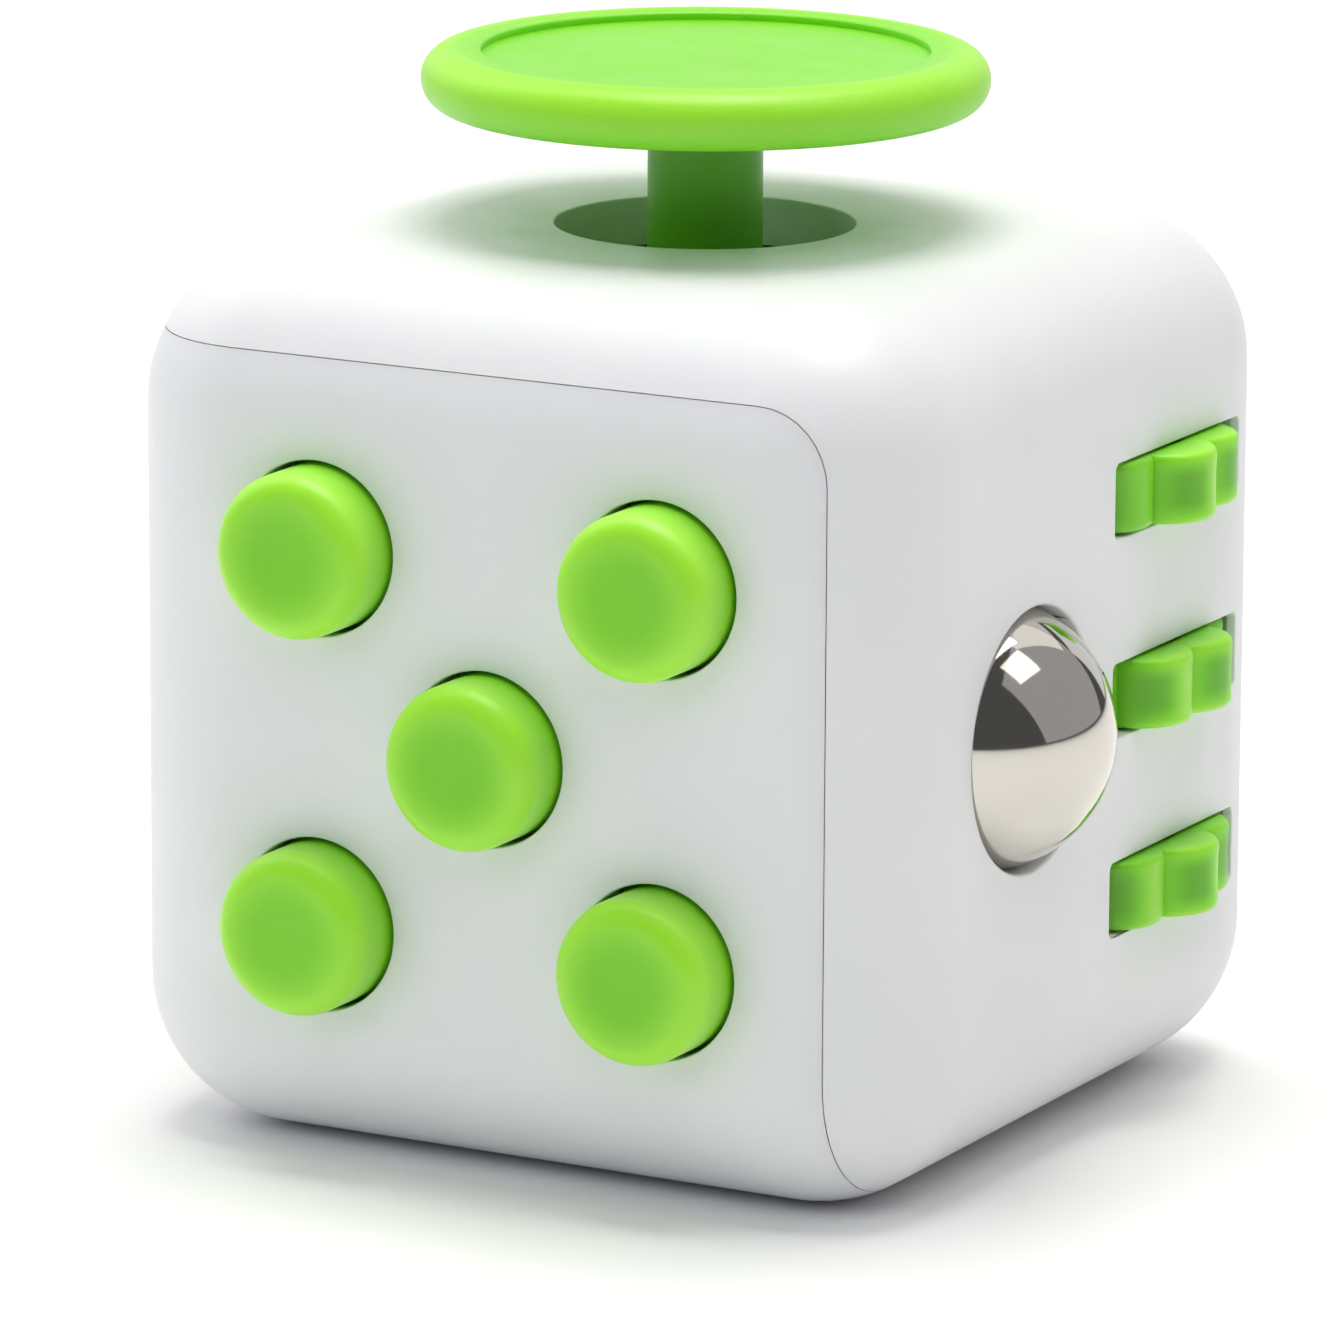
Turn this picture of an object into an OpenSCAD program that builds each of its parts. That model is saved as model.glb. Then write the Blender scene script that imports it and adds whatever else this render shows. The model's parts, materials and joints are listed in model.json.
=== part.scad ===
// Fidget cube: a palm-sized cube with a different control on every face.
// Origin at the centre of the base, +Z up. The five buttons face -Y, the gears and ball +X,
// the joystick +Z, the rocker +Y, the dial -X, and the thumb dish is under the base.

/* [Body] */
// Edge length of the cube
cube_size = 33; // [32.5:0.1:34]
// Radius of the rounded outer edges
edge_radius = 5.8; // [5:0.1:6]
// Wall thickness of both shells
wall = 1.8; // [1.7:0.05:1.9]
// Thickness of the front shell where it laps over the rear shell's lip
seam_lap = 0.67; // [0.5:0.01:0.9]
// How far that lip reaches in front of the rear shell's walls
lip_length = 2.3; // [2:0.1:2.4]

/* [Buttons] */
// Distance of a corner button from the middle button, along X and along Z
button_pitch = 6.96; // [6.5:0.02:7.1]
// How far the button pattern sits below the middle of the face
button_drop = 0.41; // [0:0.01:0.6]
// Radius of a button cap
button_r = 3.05; // [2.8:0.05:3.1]
// Radius of the hole a cap moves in
button_hole_r = 3.25; // [3.2:0.05:3.5]
// How far a cap stands out of the face
button_out = 2.3; // [2.2:0.1:2.6]
// Travel of a button
button_travel = 1; // [0.5:0.1:1]

/* [Joystick] */
// Outer radius of the joystick's disc
disc_r = 10.46; // [9:0.02:10.6]
// Thickness of the disc's rounded rim
disc_rim = 2.24; // [2:0.02:2.4]
// Height of the disc's mid plane above the top face
disc_height = 5.37; // [5.2:0.01:6]
// Radius of the flat recess in the top of the disc
disc_recess_r = 8.1; // [7:0.05:8.6]
// Radius of the stem
stem_r = 2.13; // [2:0.01:2.2]
// Radius of the hole in the top face
stem_hole_r = 5.56; // [5.4:0.02:5.7]

/* [Gears] */
// Number of teeth on each gear
gear_teeth = 10; // [8:1:14]
// Radius over the teeth
gear_tip_r = 6.8; // [6.5:0.05:6.85]
// Radius at the bottom of the notches between the teeth
gear_valley_r = 5.9; // [5.6:0.05:6.2]
// Thickness of each gear
gear_thick = 2.62; // [2.4:0.01:2.65]
// Distance between the gears along their axle
gear_pitch = 7.48; // [7.4:0.01:7.6]
// Distance of the axle from the middle of the cube, along X
axle_x = 11.4; // [11.3:0.02:11.5]
// Distance of the axle from the middle of the cube, along Y
axle_y = 6.19; // [6.15:0.01:6.4]
// Length of the slots that the gears show through
slot_length = 10.55; // [10.2:0.05:10.7]
// Height of those slots
slot_height = 2.82; // [2.8:0.01:3]

/* [Ball] */
// Radius of the steel ball
ball_r = 5; // [4.9:0.02:5]
// How far the ball stands out of the face
ball_out = 2.8; // [2.5:0.05:2.9]
// Distance of the ball from the middle of the face, towards -Y
ball_offset = 5.59; // [5.5:0.01:5.8]
// Radius of the ball's hole at the face
ball_hole_r = 4.87; // [4.8:0.01:4.88]
// Travel of the ball when it is pressed
ball_travel = 0.6; // [0.3:0.1:0.6]

/* [Dial] */
// Radius of the dial
dial_r = 7.9; // [7:0.05:8]
// Radius of the dial's hole
dial_hole_r = 8.2; // [8.15:0.05:8.3]
// Number of clicks in one turn of the dial
dial_clicks = 12; // [8:2:16]

/* [Rocker] */
// Width of the rocker
rocker_w = 7.2; // [6.5:0.1:7.3]
// Distance from the rocker's pin to its two corners
rocker_reach = 7.3; // [7:0.05:7.4]
// Tilt of the rocker at each stop
rocker_tilt = 10; // [6:1:10]
// How far the rocker's raised end stands out of the face
rocker_out = 2.3; // [2.2:0.1:2.6]

/* [Thumb dish] */
// Radius of the dish in the base
dish_r = 9; // [8:0.1:9.5]
// Depth of the dish
dish_depth = 1.3; // [0.8:0.1:1.4]

/* [Hidden] */
$fn = 64;
half = cube_size / 2;
inner = half - wall;
top_inner = cube_size - wall;
button_z = half - button_drop;
button_places = [
    [-button_pitch, button_z + button_pitch],
    [button_pitch, button_z + button_pitch],
    [0, button_z],
    [-button_pitch, button_z - button_pitch],
    [button_pitch, button_z - button_pitch]
];

// Button works: flange behind the wall, stem, then dome on the board.
button_flange_r = 3.9;
flange_gap = 0.1;
flange_thick = 1;
button_stem_r = 1.5;
board_face = -10.6;
board_thick = 1.2;
dome_height = 0.9;
dome_r = 2.5;
board_posts = [[0, 6], [0, 26.2], [-10.6, button_z], [6.6, button_z]];
board_left = -11.8;
board_right = 9.6;
post_r = 1.5;
pilot_r = 0.55;
screw_r = 0.5;
screw_head_r = 1.1;
screw_head = 0.7;

// Joystick works: gimbal under the top wall, centring spring below it.
pivot_z = 27.6;
disc_z = cube_size + disc_height;
rim_r = disc_rim / 2;
ring_outer_r = 5.2;
ring_inner_r = 2.9;
ring_height = 2.6;
pin_r = 0.6;
pin_run = 0.05;
bracket_top = 30;
bracket_thick = 1.2;
bracket_half = 8.8;
bracket_opening_r = 6.3;
bracket_posts = [for (x = [-1, 1], y = [-1, 1]) [x * 7.3, y * 7.3]];
ear_inner = 5.8;
ear_thick = 1.2;
leg_y = 6;
seat_top = 18.5;
seat_thick = 1.2;
foot_z = 23.4;
foot_thick = 1;
foot_r = 3.3;

// Gears on their axle.
gear_z = [half + gear_pitch, half, half - gear_pitch];
gear_phase = [-7.75, -21.75, 0.25];
axle_r = 1;
axle_run = 0.05;
axle_socket_r = 1.02;
axle_boss_r = 2.2;
axle_foot_r = 1.8;
axle_low = 2.3;
axle_high = 30.9;
spacer_r = 1.9;
spacer_gap = 0.1;
gear_room = 0.25;
boss_low_top = 3.4;
boss_high_low = 29.6;

// Ball in its hole.
ball_x = half + ball_out - ball_r;
ball_pocket_r = 5.15;
ball_lip_x = 15.42;
collar_low_x = 12.6;
collar_r = 6.3;
cradle_r = 3.5;
cradle_low_x = 8.6;
cradle_high_x = 10.8;
cradle_seat_r = ball_r + 0.05;
ball_plate_x = 6.5;
ball_plate_thick = 1.2;
ball_dome_height = 0.8;
ball_posts = [half - 7.4, half + 7.4];

// Dial, its bearing plate and its detent.
dial_face_x = -half - 1.1;
dial_nub_x = -half - ball_out;
dial_nub_r = 1.3;
dial_nub_offset = 5.6;
dial_flange_r = 8.9;
dial_flange_back_x = -inner + flange_gap + flange_thick;
dial_wheel_r = 4.5;
dial_wheel_valley_r = 3.95;
dial_wheel_back_x = -12.5;
dial_hub_r = 2;
dial_hub_back_x = -9.4;
dial_groove_r = 1.5;
dial_plate_x = -12.2;
dial_plate_thick = 1.2;
dial_clip_x = -10.8;
dial_clip_thick = 0.6;
dial_posts = [half - 10.7, half + 10.7];

// Rocker on its pin.
rocker_y = 13;
rocker_corner = acos((half + rocker_out - rocker_y) / rocker_reach) + rocker_tilt;
rocker_middle = 4;
rocker_pin_r = 0.75;
rocker_pin_run = 0.05;
rocker_boss_r = 1.5;
rocker_boss_end = 2.7;
plunger_r = 0.8;
plunger_tip = 3.2;
frame_low_y = 8.6;
frame_thick = 1;
frame_ear_inner = rocker_w / 2 + 0.2;
frame_ear_thick = 0.8;
rocker_posts = [half - 9.2, half + 9.2];

// Thumb dish as part of a large sphere.
dish_sphere_r = (dish_r * dish_r + dish_depth * dish_depth) / (2 * dish_depth);
dish_floor = 1.5;

// ---- Outlines ----

// Points along an arc
function arc(x, y, r, from, to, steps = 8) =
    [for (i = [0 : steps]) let (a = from + (to - from) * i / steps) [x + r * cos(a), y + r * sin(a)]];

// Rectangle with round corners, centred on the origin
function round_rectangle(w, h, r) = concat(
    arc(w / 2 - r, h / 2 - r, r, 0, 90),
    arc(-w / 2 + r, h / 2 - r, r, 90, 180),
    arc(-w / 2 + r, -h / 2 + r, r, 180, 270),
    arc(w / 2 - r, -h / 2 + r, r, 270, 360)
);

// Radius of a rounded tooth; u runs from -1 to 1 across it, and a higher taper gives it longer flanks
function tooth_radius(tip, valley, u, taper) = valley + (tip - valley) * pow(1 - u * u, taper);

// Outline of a wheel with rounded teeth
function toothed_outline(teeth, tip, valley, phase, taper, steps = 12) = [
    for (tooth = [0 : teeth - 1], i = [0 : steps - 1])
        let (u = sin(-90 + 180 * i / steps), a = phase + (tooth + u / 2) * 360 / teeth,
             r = tooth_radius(tip, valley, u, taper))
        [r * cos(a), r * sin(a)]
];

// ---- Shared shapes ----

// Cylinder along Y from one y to another
module y_cylinder(x, z, from, to, r) {
    translate([x, from, z]) rotate([-90, 0, 0]) cylinder(h = to - from, r = r);
}

// Cylinder along X from one x to another
module x_cylinder(y, z, from, to, r) {
    translate([from, y, z]) rotate([0, 90, 0]) cylinder(h = to - from, r = r);
}

// Cylinder along Z from one z to another
module z_cylinder(x, y, from, to, r) {
    translate([x, y, from]) cylinder(h = to - from, r = r);
}

// Turns a shape drawn upwards so that it points along +X, keeping its first axis along -Z
module along_x() {
    rotate([0, 90, 0]) children();
}

// Turns a shape drawn upwards so that it points along -Y
module along_front() {
    rotate([90, 0, 0]) children();
}

// Block with rounded edges between two corners
module rounded_block(low, high, r) {
    size = high - low;
    hull() {
        for (x = [low.x + r, high.x - r], y = [low.y + r, high.y - r], z = [low.z + r, high.z - r])
            translate([x, y, z]) sphere(r, $fn = 32);
        translate(low + [r, r, 0]) cube(size - [2 * r, 2 * r, 0]);
        translate(low + [r, 0, r]) cube(size - [2 * r, 0, 2 * r]);
        translate(low + [0, r, r]) cube(size - [0, 2 * r, 2 * r]);
    }
}

// Pan-head screw along +Z, its head's underside at the origin
module screw(length) {
    translate([0, 0, -screw_head]) cylinder(h = screw_head, r = screw_head_r);
    cylinder(h = length, r = screw_r);
}

// Domed disc on the plane z = 0, open underneath
module snap_dome(r, height, skin) {
    bulge = (r * r + height * height) / (2 * height);
    intersection() {
        difference() {
            translate([0, 0, height - bulge]) sphere(bulge);
            translate([0, 0, height - bulge]) sphere(bulge - skin);
        }
        cylinder(h = height + 1, r = r);
    }
}

// Round wire wound in a helix from z = 0 to the given length
module coil_spring(r, wire_r, length, turns, per_turn = 16, sides = 6) {
    rings = turns * per_turn;
    rise = length - 2 * wire_r;
    points = [for (i = [0 : rings], s = [0 : sides - 1])
        let (a = 360 * i / per_turn, b = 360 * s / sides, reach = r + wire_r * cos(b))
        [reach * cos(a), reach * sin(a), wire_r + rise * i / rings + wire_r * sin(b)]];
    walls = [for (i = [0 : rings - 1], s = [0 : sides - 1])
        let (next = (s + 1) % sides)
        [i * sides + s, i * sides + next, (i + 1) * sides + next, (i + 1) * sides + s]];
    first = [[for (s = [sides - 1 : -1 : 0]) s]];
    last = [[for (s = [0 : sides - 1]) rings * sides + s]];
    faces = concat(walls, first, last);
    polyhedron(points = points, faces = [for (f = faces) [for (k = [len(f) - 1 : -1 : 0]) f[k]]]);
}

// ---- Shells ----

// Outside of the closed cube
module body_outside() {
    rounded_block([-half, -half, 0], [half, half, cube_size], edge_radius);
}

// Everything inside the rear shell's step: the outside, moved in by the lap, at the seam
module rear_region() {
    past = half + edge_radius;
    rounded_block(
        [-half + seam_lap, -half + seam_lap, seam_lap],
        [past, past, past + half],
        edge_radius - seam_lap
    );
}

// Space that the rear shell's three walls and its lip close off
module rear_hollow() {
    past = half + edge_radius;
    lip_inner = inner - lip_length;
    rounded_block([-inner, -inner, wall], [inner, inner, top_inner], edge_radius - wall);
    rounded_block(
        [-past, -past, -past],
        [lip_inner, lip_inner, top_inner - lip_length],
        edge_radius - wall - lip_length
    );
}

// Space that the front shell's three walls close off
module front_hollow() {
    rounded_block(
        [-inner, -inner, wall],
        [half + edge_radius, half + edge_radius, cube_size + edge_radius],
        edge_radius - wall
    );
}

// Front, left and bottom walls in one piece
module front_shell() {
    color("whitesmoke") difference() {
        union() {
            difference() {
                body_outside();
                front_hollow();
                difference() {
                    rear_region();
                    rear_hollow();
                }
            }
            dish_backing();
            for (p = board_posts) y_cylinder(p.x, p.y, -inner - 0.5, board_face, post_r);
            for (z = dial_posts) x_cylinder(0, z, -inner - 0.5, dial_plate_x, post_r);
            z_cylinder(axle_x, axle_y, seam_lap - 0.1, boss_low_top, axle_foot_r);
        }
        for (p = button_places) y_cylinder(p.x, p.y, -half - 1, -inner + 1, button_hole_r);
        x_cylinder(0, half, -half - 1, -inner + 1, dial_hole_r);
        for (p = board_posts) y_cylinder(p.x, p.y, board_face - 3, board_face + 1, pilot_r);
        for (z = dial_posts) x_cylinder(0, z, dial_plate_x - 2.2, dial_plate_x + 1, pilot_r);
        z_cylinder(axle_x, axle_y, axle_low, boss_low_top + 1, axle_socket_r);
        translate([0, 0, dish_depth - dish_sphere_r]) sphere(dish_sphere_r);
    }
}

// Bulge above the dish that keeps the base's thickness
module dish_backing() {
    intersection() {
        translate([0, 0, dish_depth - dish_sphere_r]) sphere(dish_sphere_r + dish_floor);
        z_cylinder(0, 0, wall - 0.5, 2 * wall, half);
    }
}

// Top, right and back walls in one piece
module rear_shell() {
    color("white") difference() {
        union() {
            difference() {
                intersection() {
                    body_outside();
                    rear_region();
                }
                rear_hollow();
            }
            for (p = bracket_posts) z_cylinder(p.x, p.y, bracket_top, top_inner + 0.5, post_r);
            z_cylinder(axle_x, axle_y, boss_high_low, top_inner + 0.5, axle_boss_r);
            for (z = ball_posts)
                x_cylinder(-ball_offset, z, ball_plate_x + ball_plate_thick, inner + 0.5, post_r);
            for (z = rocker_posts) y_cylinder(0, z, frame_low_y + frame_thick, inner + 0.5, post_r);
            ball_collar();
        }
        z_cylinder(0, 0, top_inner - 1, cube_size + 1, stem_hole_r);
        for (z = gear_z) translate([inner - 1, axle_y, z]) along_x() gear_slot();
        for (z = gear_z)
            z_cylinder(axle_x, axle_y, z - slot_height / 2, z + slot_height / 2, gear_tip_r + gear_room);
        x_cylinder(-ball_offset, half, inner, half + 1, ball_hole_r);
        x_cylinder(-ball_offset, half, collar_low_x - 1, ball_lip_x, ball_pocket_r);
        translate([0, half + 1, half]) along_front() linear_extrude(wall + 2)
            polygon(round_rectangle(rocker_w + 0.5, 2 * rocker_reach + 0.2, 0.8));
        for (p = bracket_posts) z_cylinder(p.x, p.y, bracket_top - 1, bracket_top + 1.9, pilot_r);
        z_cylinder(axle_x, axle_y, boss_high_low - 1, axle_high + 0.1, axle_socket_r);
        z_cylinder(axle_x, axle_y, -1, boss_low_top, axle_foot_r + 0.05);
        for (z = ball_posts) x_cylinder(-ball_offset, z, ball_plate_x, ball_plate_x + 5.3, pilot_r);
        for (z = rocker_posts) y_cylinder(0, z, frame_low_y, frame_low_y + 5, pilot_r);
    }
}

// Slot for one gear, drawn along +Z
module gear_slot() {
    linear_extrude(wall + 2) polygon(round_rectangle(slot_height, slot_length, 0.25));
}

// Ring round the ball, open on the side where the middle gear turns
module ball_collar() {
    difference() {
        x_cylinder(-ball_offset, half, collar_low_x, inner + 0.5, collar_r);
        translate([collar_low_x - 1, -1.6, half - collar_r]) cube([wall + 4, collar_r, 2 * collar_r]);
    }
}

// ---- Buttons ----

// One button: cap with a rounded edge, flange and stem, drawn with its back at the origin
module button(place, tint) {
    edge = 0.9;
    depth = half + button_out + board_face - dome_height - 0.1;
    flange_low = -inner + flange_gap + half + button_out;
    outline = concat(
        [[0, 0]],
        arc(button_r - edge, edge, edge, -90, 0),
        [
            [button_r, flange_low],
            [button_flange_r, flange_low],
            [button_flange_r, flange_low + flange_thick],
            [button_stem_r, flange_low + flange_thick],
            [button_stem_r, depth],
            [0, depth]
        ]
    );
    color(tint) translate([place.x, -half - button_out, place.y]) rotate([-90, 0, 0])
        rotate_extrude() polygon(outline);
}

module button_upper_left() {
    button(button_places[0], "yellowgreen");
}

module button_upper_right() {
    button(button_places[1], "yellowgreen");
}

module button_centre() {
    button(button_places[2], "yellowgreen");
}

module button_lower_left() {
    button(button_places[3], "yellowgreen");
}

module button_lower_right() {
    button(button_places[4], "yellowgreen");
}

// Board that carries the domes behind the buttons
module button_board() {
    width = board_right - board_left;
    height = 25.4;
    color("darkgreen") difference() {
        translate([(board_left + board_right) / 2, board_face + board_thick, button_z]) along_front()
            linear_extrude(board_thick) polygon(round_rectangle(width, height, 2));
        for (p = board_posts) y_cylinder(p.x, p.y, board_face - 1, board_face + board_thick + 1, pilot_r);
    }
}

// Dome under one button, standing on the board
module button_dome(place, skin, tint) {
    color(tint) translate([place.x, board_face, place.y]) along_front() snap_dome(dome_r, dome_height, skin);
}

module click_dome_upper_left() {
    button_dome(button_places[0], 0.15, "silver");
}

module click_dome_centre() {
    button_dome(button_places[2], 0.15, "silver");
}

module click_dome_lower_right() {
    button_dome(button_places[4], 0.15, "silver");
}

module soft_dome_upper_right() {
    button_dome(button_places[1], 0.4, "dimgray");
}

module soft_dome_lower_left() {
    button_dome(button_places[3], 0.4, "dimgray");
}

module board_screws() {
    color("silver") for (p = board_posts)
        translate([p.x, board_face + board_thick, p.y]) along_front() screw(3.6);
}

// ---- Joystick ----

// Disc with a round rim and a shallow recess, on its stem
module joystick() {
    centre_r = disc_r - rim_r;
    recess_z = disc_z + rim_r - 0.35;
    outline = concat(
        [[0, foot_z + foot_thick], [stem_r, foot_z + foot_thick], [stem_r, disc_z - rim_r - 0.4]],
        [[stem_r + 0.4, disc_z - rim_r]],
        arc(centre_r, disc_z, rim_r, -90, 90, 16),
        [[disc_recess_r + 0.3, disc_z + rim_r - 0.05], [disc_recess_r, recess_z], [0, recess_z]]
    );
    color("yellowgreen") difference() {
        rotate_extrude() polygon(outline);
        y_cylinder(0, pivot_z, -stem_r - 1, stem_r + 1, pin_r + pin_run);
        z_cylinder(0, 0, foot_z, foot_z + 3, pilot_r);
    }
}

// Ring that swings in the bracket and carries the stick
module gimbal_ring() {
    color("gainsboro") difference() {
        z_cylinder(0, 0, pivot_z - ring_height / 2, pivot_z + ring_height / 2, ring_outer_r);
        z_cylinder(0, 0, pivot_z - ring_height, pivot_z + ring_height, ring_inner_r);
        x_cylinder(0, pivot_z, -ring_outer_r - 1, ring_outer_r + 1, pin_r + 0.01);
        y_cylinder(0, pivot_z, -ring_outer_r - 1, ring_outer_r + 1, pin_r + 0.01);
    }
}

// Two pins on which the ring swings
module ring_pins() {
    pin_end = ear_inner + ear_thick;
    color("silver") {
        x_cylinder(0, pivot_z, -pin_end, -ring_inner_r - 0.4, pin_r);
        x_cylinder(0, pivot_z, ring_inner_r + 0.4, pin_end, pin_r);
    }
}

// Cross pin on which the stick tilts
module stick_pin() {
    color("silver") y_cylinder(0, pivot_z, -ring_outer_r + 0.1, ring_outer_r - 0.1, pin_r);
}

// Plate with two ears for the ring and two legs for the spring seat
module joystick_bracket() {
    ear_low = pivot_z - 1.6;
    plate_low = bracket_top - bracket_thick;
    color("lightgray") difference() {
        union() {
            translate([0, 0, plate_low]) linear_extrude(bracket_thick)
                polygon(round_rectangle(2 * bracket_half, 2 * bracket_half, 1.5));
            for (side = [-1, 1])
                translate([side * (ear_inner + ear_thick / 2), 0, (ear_low + bracket_top) / 2])
                    cube([ear_thick, 3.2, bracket_top - ear_low], center = true);
            for (side = [-1, 1])
                translate([0, side * (leg_y + 0.9), (seat_top + bracket_top) / 2])
                    cube([3, 1.8, bracket_top - seat_top], center = true);
        }
        difference() {
            z_cylinder(0, 0, plate_low - 1, bracket_top + 1, bracket_opening_r);
            for (side = [-1, 1]) {
                translate([side * (ear_inner + ear_thick / 2), 0, pivot_z])
                    cube([ear_thick, 3.2, 2 * ring_height + 1], center = true);
                translate([0, side * (leg_y + 0.9), pivot_z]) cube([3, 1.8, 2 * ring_height + 1], center = true);
            }
        }
        x_cylinder(0, pivot_z, -ear_inner - 2, ear_inner + 2, pin_r + pin_run);
        for (p = bracket_posts) z_cylinder(p.x, p.y, plate_low - 1, bracket_top + 1, pilot_r);
        for (side = [-1, 1]) z_cylinder(0, side * (leg_y + 0.9), seat_top - 1, seat_top + 3, pilot_r);
    }
}

module bracket_screws() {
    color("silver") for (p = bracket_posts)
        translate([p.x, p.y, bracket_top - bracket_thick]) screw(2.8);
}

// Flat foot that the centring spring pushes level
module centring_foot() {
    color("gainsboro") difference() {
        z_cylinder(0, 0, foot_z, foot_z + foot_thick, foot_r);
        z_cylinder(0, 0, foot_z - 1, foot_z + foot_thick + 1, pilot_r);
    }
}

module foot_screw() {
    color("silver") translate([0, 0, foot_z]) screw(2.8);
}

module centring_spring() {
    color("silver") translate([0, 0, seat_top]) coil_spring(2.5, 0.3, foot_z - seat_top, 4);
}

// Cross-bar under the spring, with a peg that keeps it in place
module spring_seat() {
    color("gainsboro") difference() {
        union() {
            translate([0, 0, seat_top - seat_thick]) linear_extrude(seat_thick)
                polygon(round_rectangle(4, 2 * leg_y + 3.6, 0.8));
            z_cylinder(0, 0, seat_top - seat_thick, seat_top, 3.4);
            z_cylinder(0, 0, seat_top - seat_thick, seat_top + 0.8, 1.9);
        }
        for (side = [-1, 1])
            z_cylinder(0, side * (leg_y + 0.9), seat_top - seat_thick - 1, seat_top + 1, pilot_r);
    }
}

module seat_screws() {
    color("silver") for (side = [-1, 1])
        translate([0, side * (leg_y + 0.9), seat_top - seat_thick]) screw(3.6);
}

// ---- Gears ----

// One toothed wheel, turned so that its teeth start at the given angle
module gear(z, phase) {
    color("yellowgreen") translate([axle_x, axle_y, z - gear_thick / 2]) difference() {
        linear_extrude(gear_thick)
            polygon(toothed_outline(gear_teeth, gear_tip_r, gear_valley_r, phase, 1));
        translate([0, 0, -1]) cylinder(h = gear_thick + 2, r = axle_r + axle_run);
    }
}

module gear_upper() {
    gear(gear_z[0], gear_phase[0]);
}

module gear_middle() {
    gear(gear_z[1], gear_phase[1]);
}

module gear_lower() {
    gear(gear_z[2], gear_phase[2]);
}

module gear_axle() {
    color("silver") z_cylinder(axle_x, axle_y, axle_low, axle_high, axle_r);
}

// Sleeve on the axle between two heights
module spacer(from, to) {
    color("gainsboro") difference() {
        z_cylinder(axle_x, axle_y, from, to, spacer_r);
        z_cylinder(axle_x, axle_y, from - 1, to + 1, axle_socket_r);
    }
}

module spacer_top() {
    spacer(gear_z[0] + gear_thick / 2 + spacer_gap, boss_high_low);
}

module spacer_upper() {
    spacer(gear_z[1] + gear_thick / 2 + spacer_gap, gear_z[0] - gear_thick / 2 - spacer_gap);
}

module spacer_lower() {
    spacer(gear_z[2] + gear_thick / 2 + spacer_gap, gear_z[1] - gear_thick / 2 - spacer_gap);
}

module spacer_bottom() {
    spacer(boss_low_top, gear_z[2] - gear_thick / 2 - spacer_gap);
}

// ---- Ball ----

module steel_ball() {
    color("silver") translate([ball_x, -ball_offset, half]) sphere(ball_r, $fn = 96);
}

// Dished pad that the ball turns in
module ball_cradle() {
    color("gainsboro") difference() {
        x_cylinder(-ball_offset, half, cradle_low_x, cradle_high_x, cradle_r);
        translate([ball_x, -ball_offset, half]) sphere(cradle_seat_r, $fn = 96);
    }
}

module ball_dome() {
    color("silver") translate([ball_plate_x + ball_plate_thick, -ball_offset, half]) along_x()
        snap_dome(2.4, ball_dome_height, 0.15);
}

// Plate that carries the ball's dome, on two posts of the rear shell
module ball_bracket() {
    height = 2 * 7.4 + 2 * post_r;
    color("lightgray") difference() {
        translate([ball_plate_x, -ball_offset, half]) along_x() linear_extrude(ball_plate_thick)
            polygon(round_rectangle(height, 5.4, 1.2));
        for (z = ball_posts)
            x_cylinder(-ball_offset, z, ball_plate_x - 1, ball_plate_x + ball_plate_thick + 1, pilot_r);
    }
}

module ball_screws() {
    color("silver") for (z = ball_posts)
        translate([ball_plate_x, -ball_offset, z]) along_x() screw(5);
}

// ---- Dial ----

// Dial with its nub, flange, click wheel and hub
module dial() {
    edge = 0.4;
    wheel_depth = dial_wheel_back_x - dial_flange_back_x;
    color("yellowgreen") difference() {
        union() {
            x_cylinder(0, half, dial_face_x + edge, dial_flange_back_x, dial_r);
            x_cylinder(0, half, dial_face_x, dial_face_x + 2 * edge, dial_r - edge);
            x_cylinder(0, half, -inner + flange_gap, dial_flange_back_x, dial_flange_r);
            translate([dial_flange_back_x - 0.2, 0, half]) along_x() linear_extrude(wheel_depth + 0.2)
                polygon(toothed_outline(dial_clicks, dial_wheel_r, dial_wheel_valley_r, 180 / dial_clicks, 0.6));
            x_cylinder(0, half, dial_wheel_back_x - 0.2, dial_hub_back_x, dial_hub_r);
            x_cylinder(0, half - dial_nub_offset, dial_nub_x, dial_face_x + 1, dial_nub_r);
        }
        difference() {
            x_cylinder(0, half, dial_clip_x, dial_clip_x + dial_clip_thick, dial_hub_r + 1);
            x_cylinder(0, half, dial_clip_x - 1, dial_clip_x + dial_clip_thick + 1, dial_groove_r);
        }
    }
}

// Plate that the dial's hub turns in
module dial_plate() {
    color("lightgray") difference() {
        translate([dial_plate_x, 0, half]) along_x() linear_extrude(dial_plate_thick)
            polygon(round_rectangle(2 * 10.7 + 2 * post_r, 12, 1.5));
        x_cylinder(0, half, dial_plate_x - 1, dial_plate_x + dial_plate_thick + 1, dial_hub_r + axle_run);
        for (z = dial_posts)
            x_cylinder(0, z, dial_plate_x - 1, dial_plate_x + dial_plate_thick + 1, pilot_r);
    }
}

// Open spring clip in the hub's groove
module dial_clip() {
    color("silver") difference() {
        x_cylinder(0, half, dial_clip_x, dial_clip_x + dial_clip_thick, 2.9);
        x_cylinder(0, half, dial_clip_x - 1, dial_clip_x + dial_clip_thick + 1, dial_groove_r);
        translate([dial_clip_x - 1, -1.2, half]) cube([dial_clip_thick + 2, 2.4, 4]);
    }
}

// Leaf spring whose bump drops into the click wheel's notches
module dial_detent() {
    leaf_low = 4.85;
    leaf_x = -13.35;
    leaf_w = 0.8;
    color("silver") difference() {
        union() {
            translate([leaf_x, -4.4, half + leaf_low]) cube([leaf_w, 8.8, 0.3]);
            x_cylinder(0, half + leaf_low, leaf_x, leaf_x + leaf_w, 0.6);
            for (side = [-1, 1])
                translate([leaf_x, side * 4 - 0.4, half + leaf_low]) cube([dial_plate_x - leaf_x, 0.8, 0.8]);
        }
        x_cylinder(0, half + leaf_low + 0.3, leaf_x - 1, leaf_x + leaf_w + 1, 0.45);
    }
}

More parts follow.
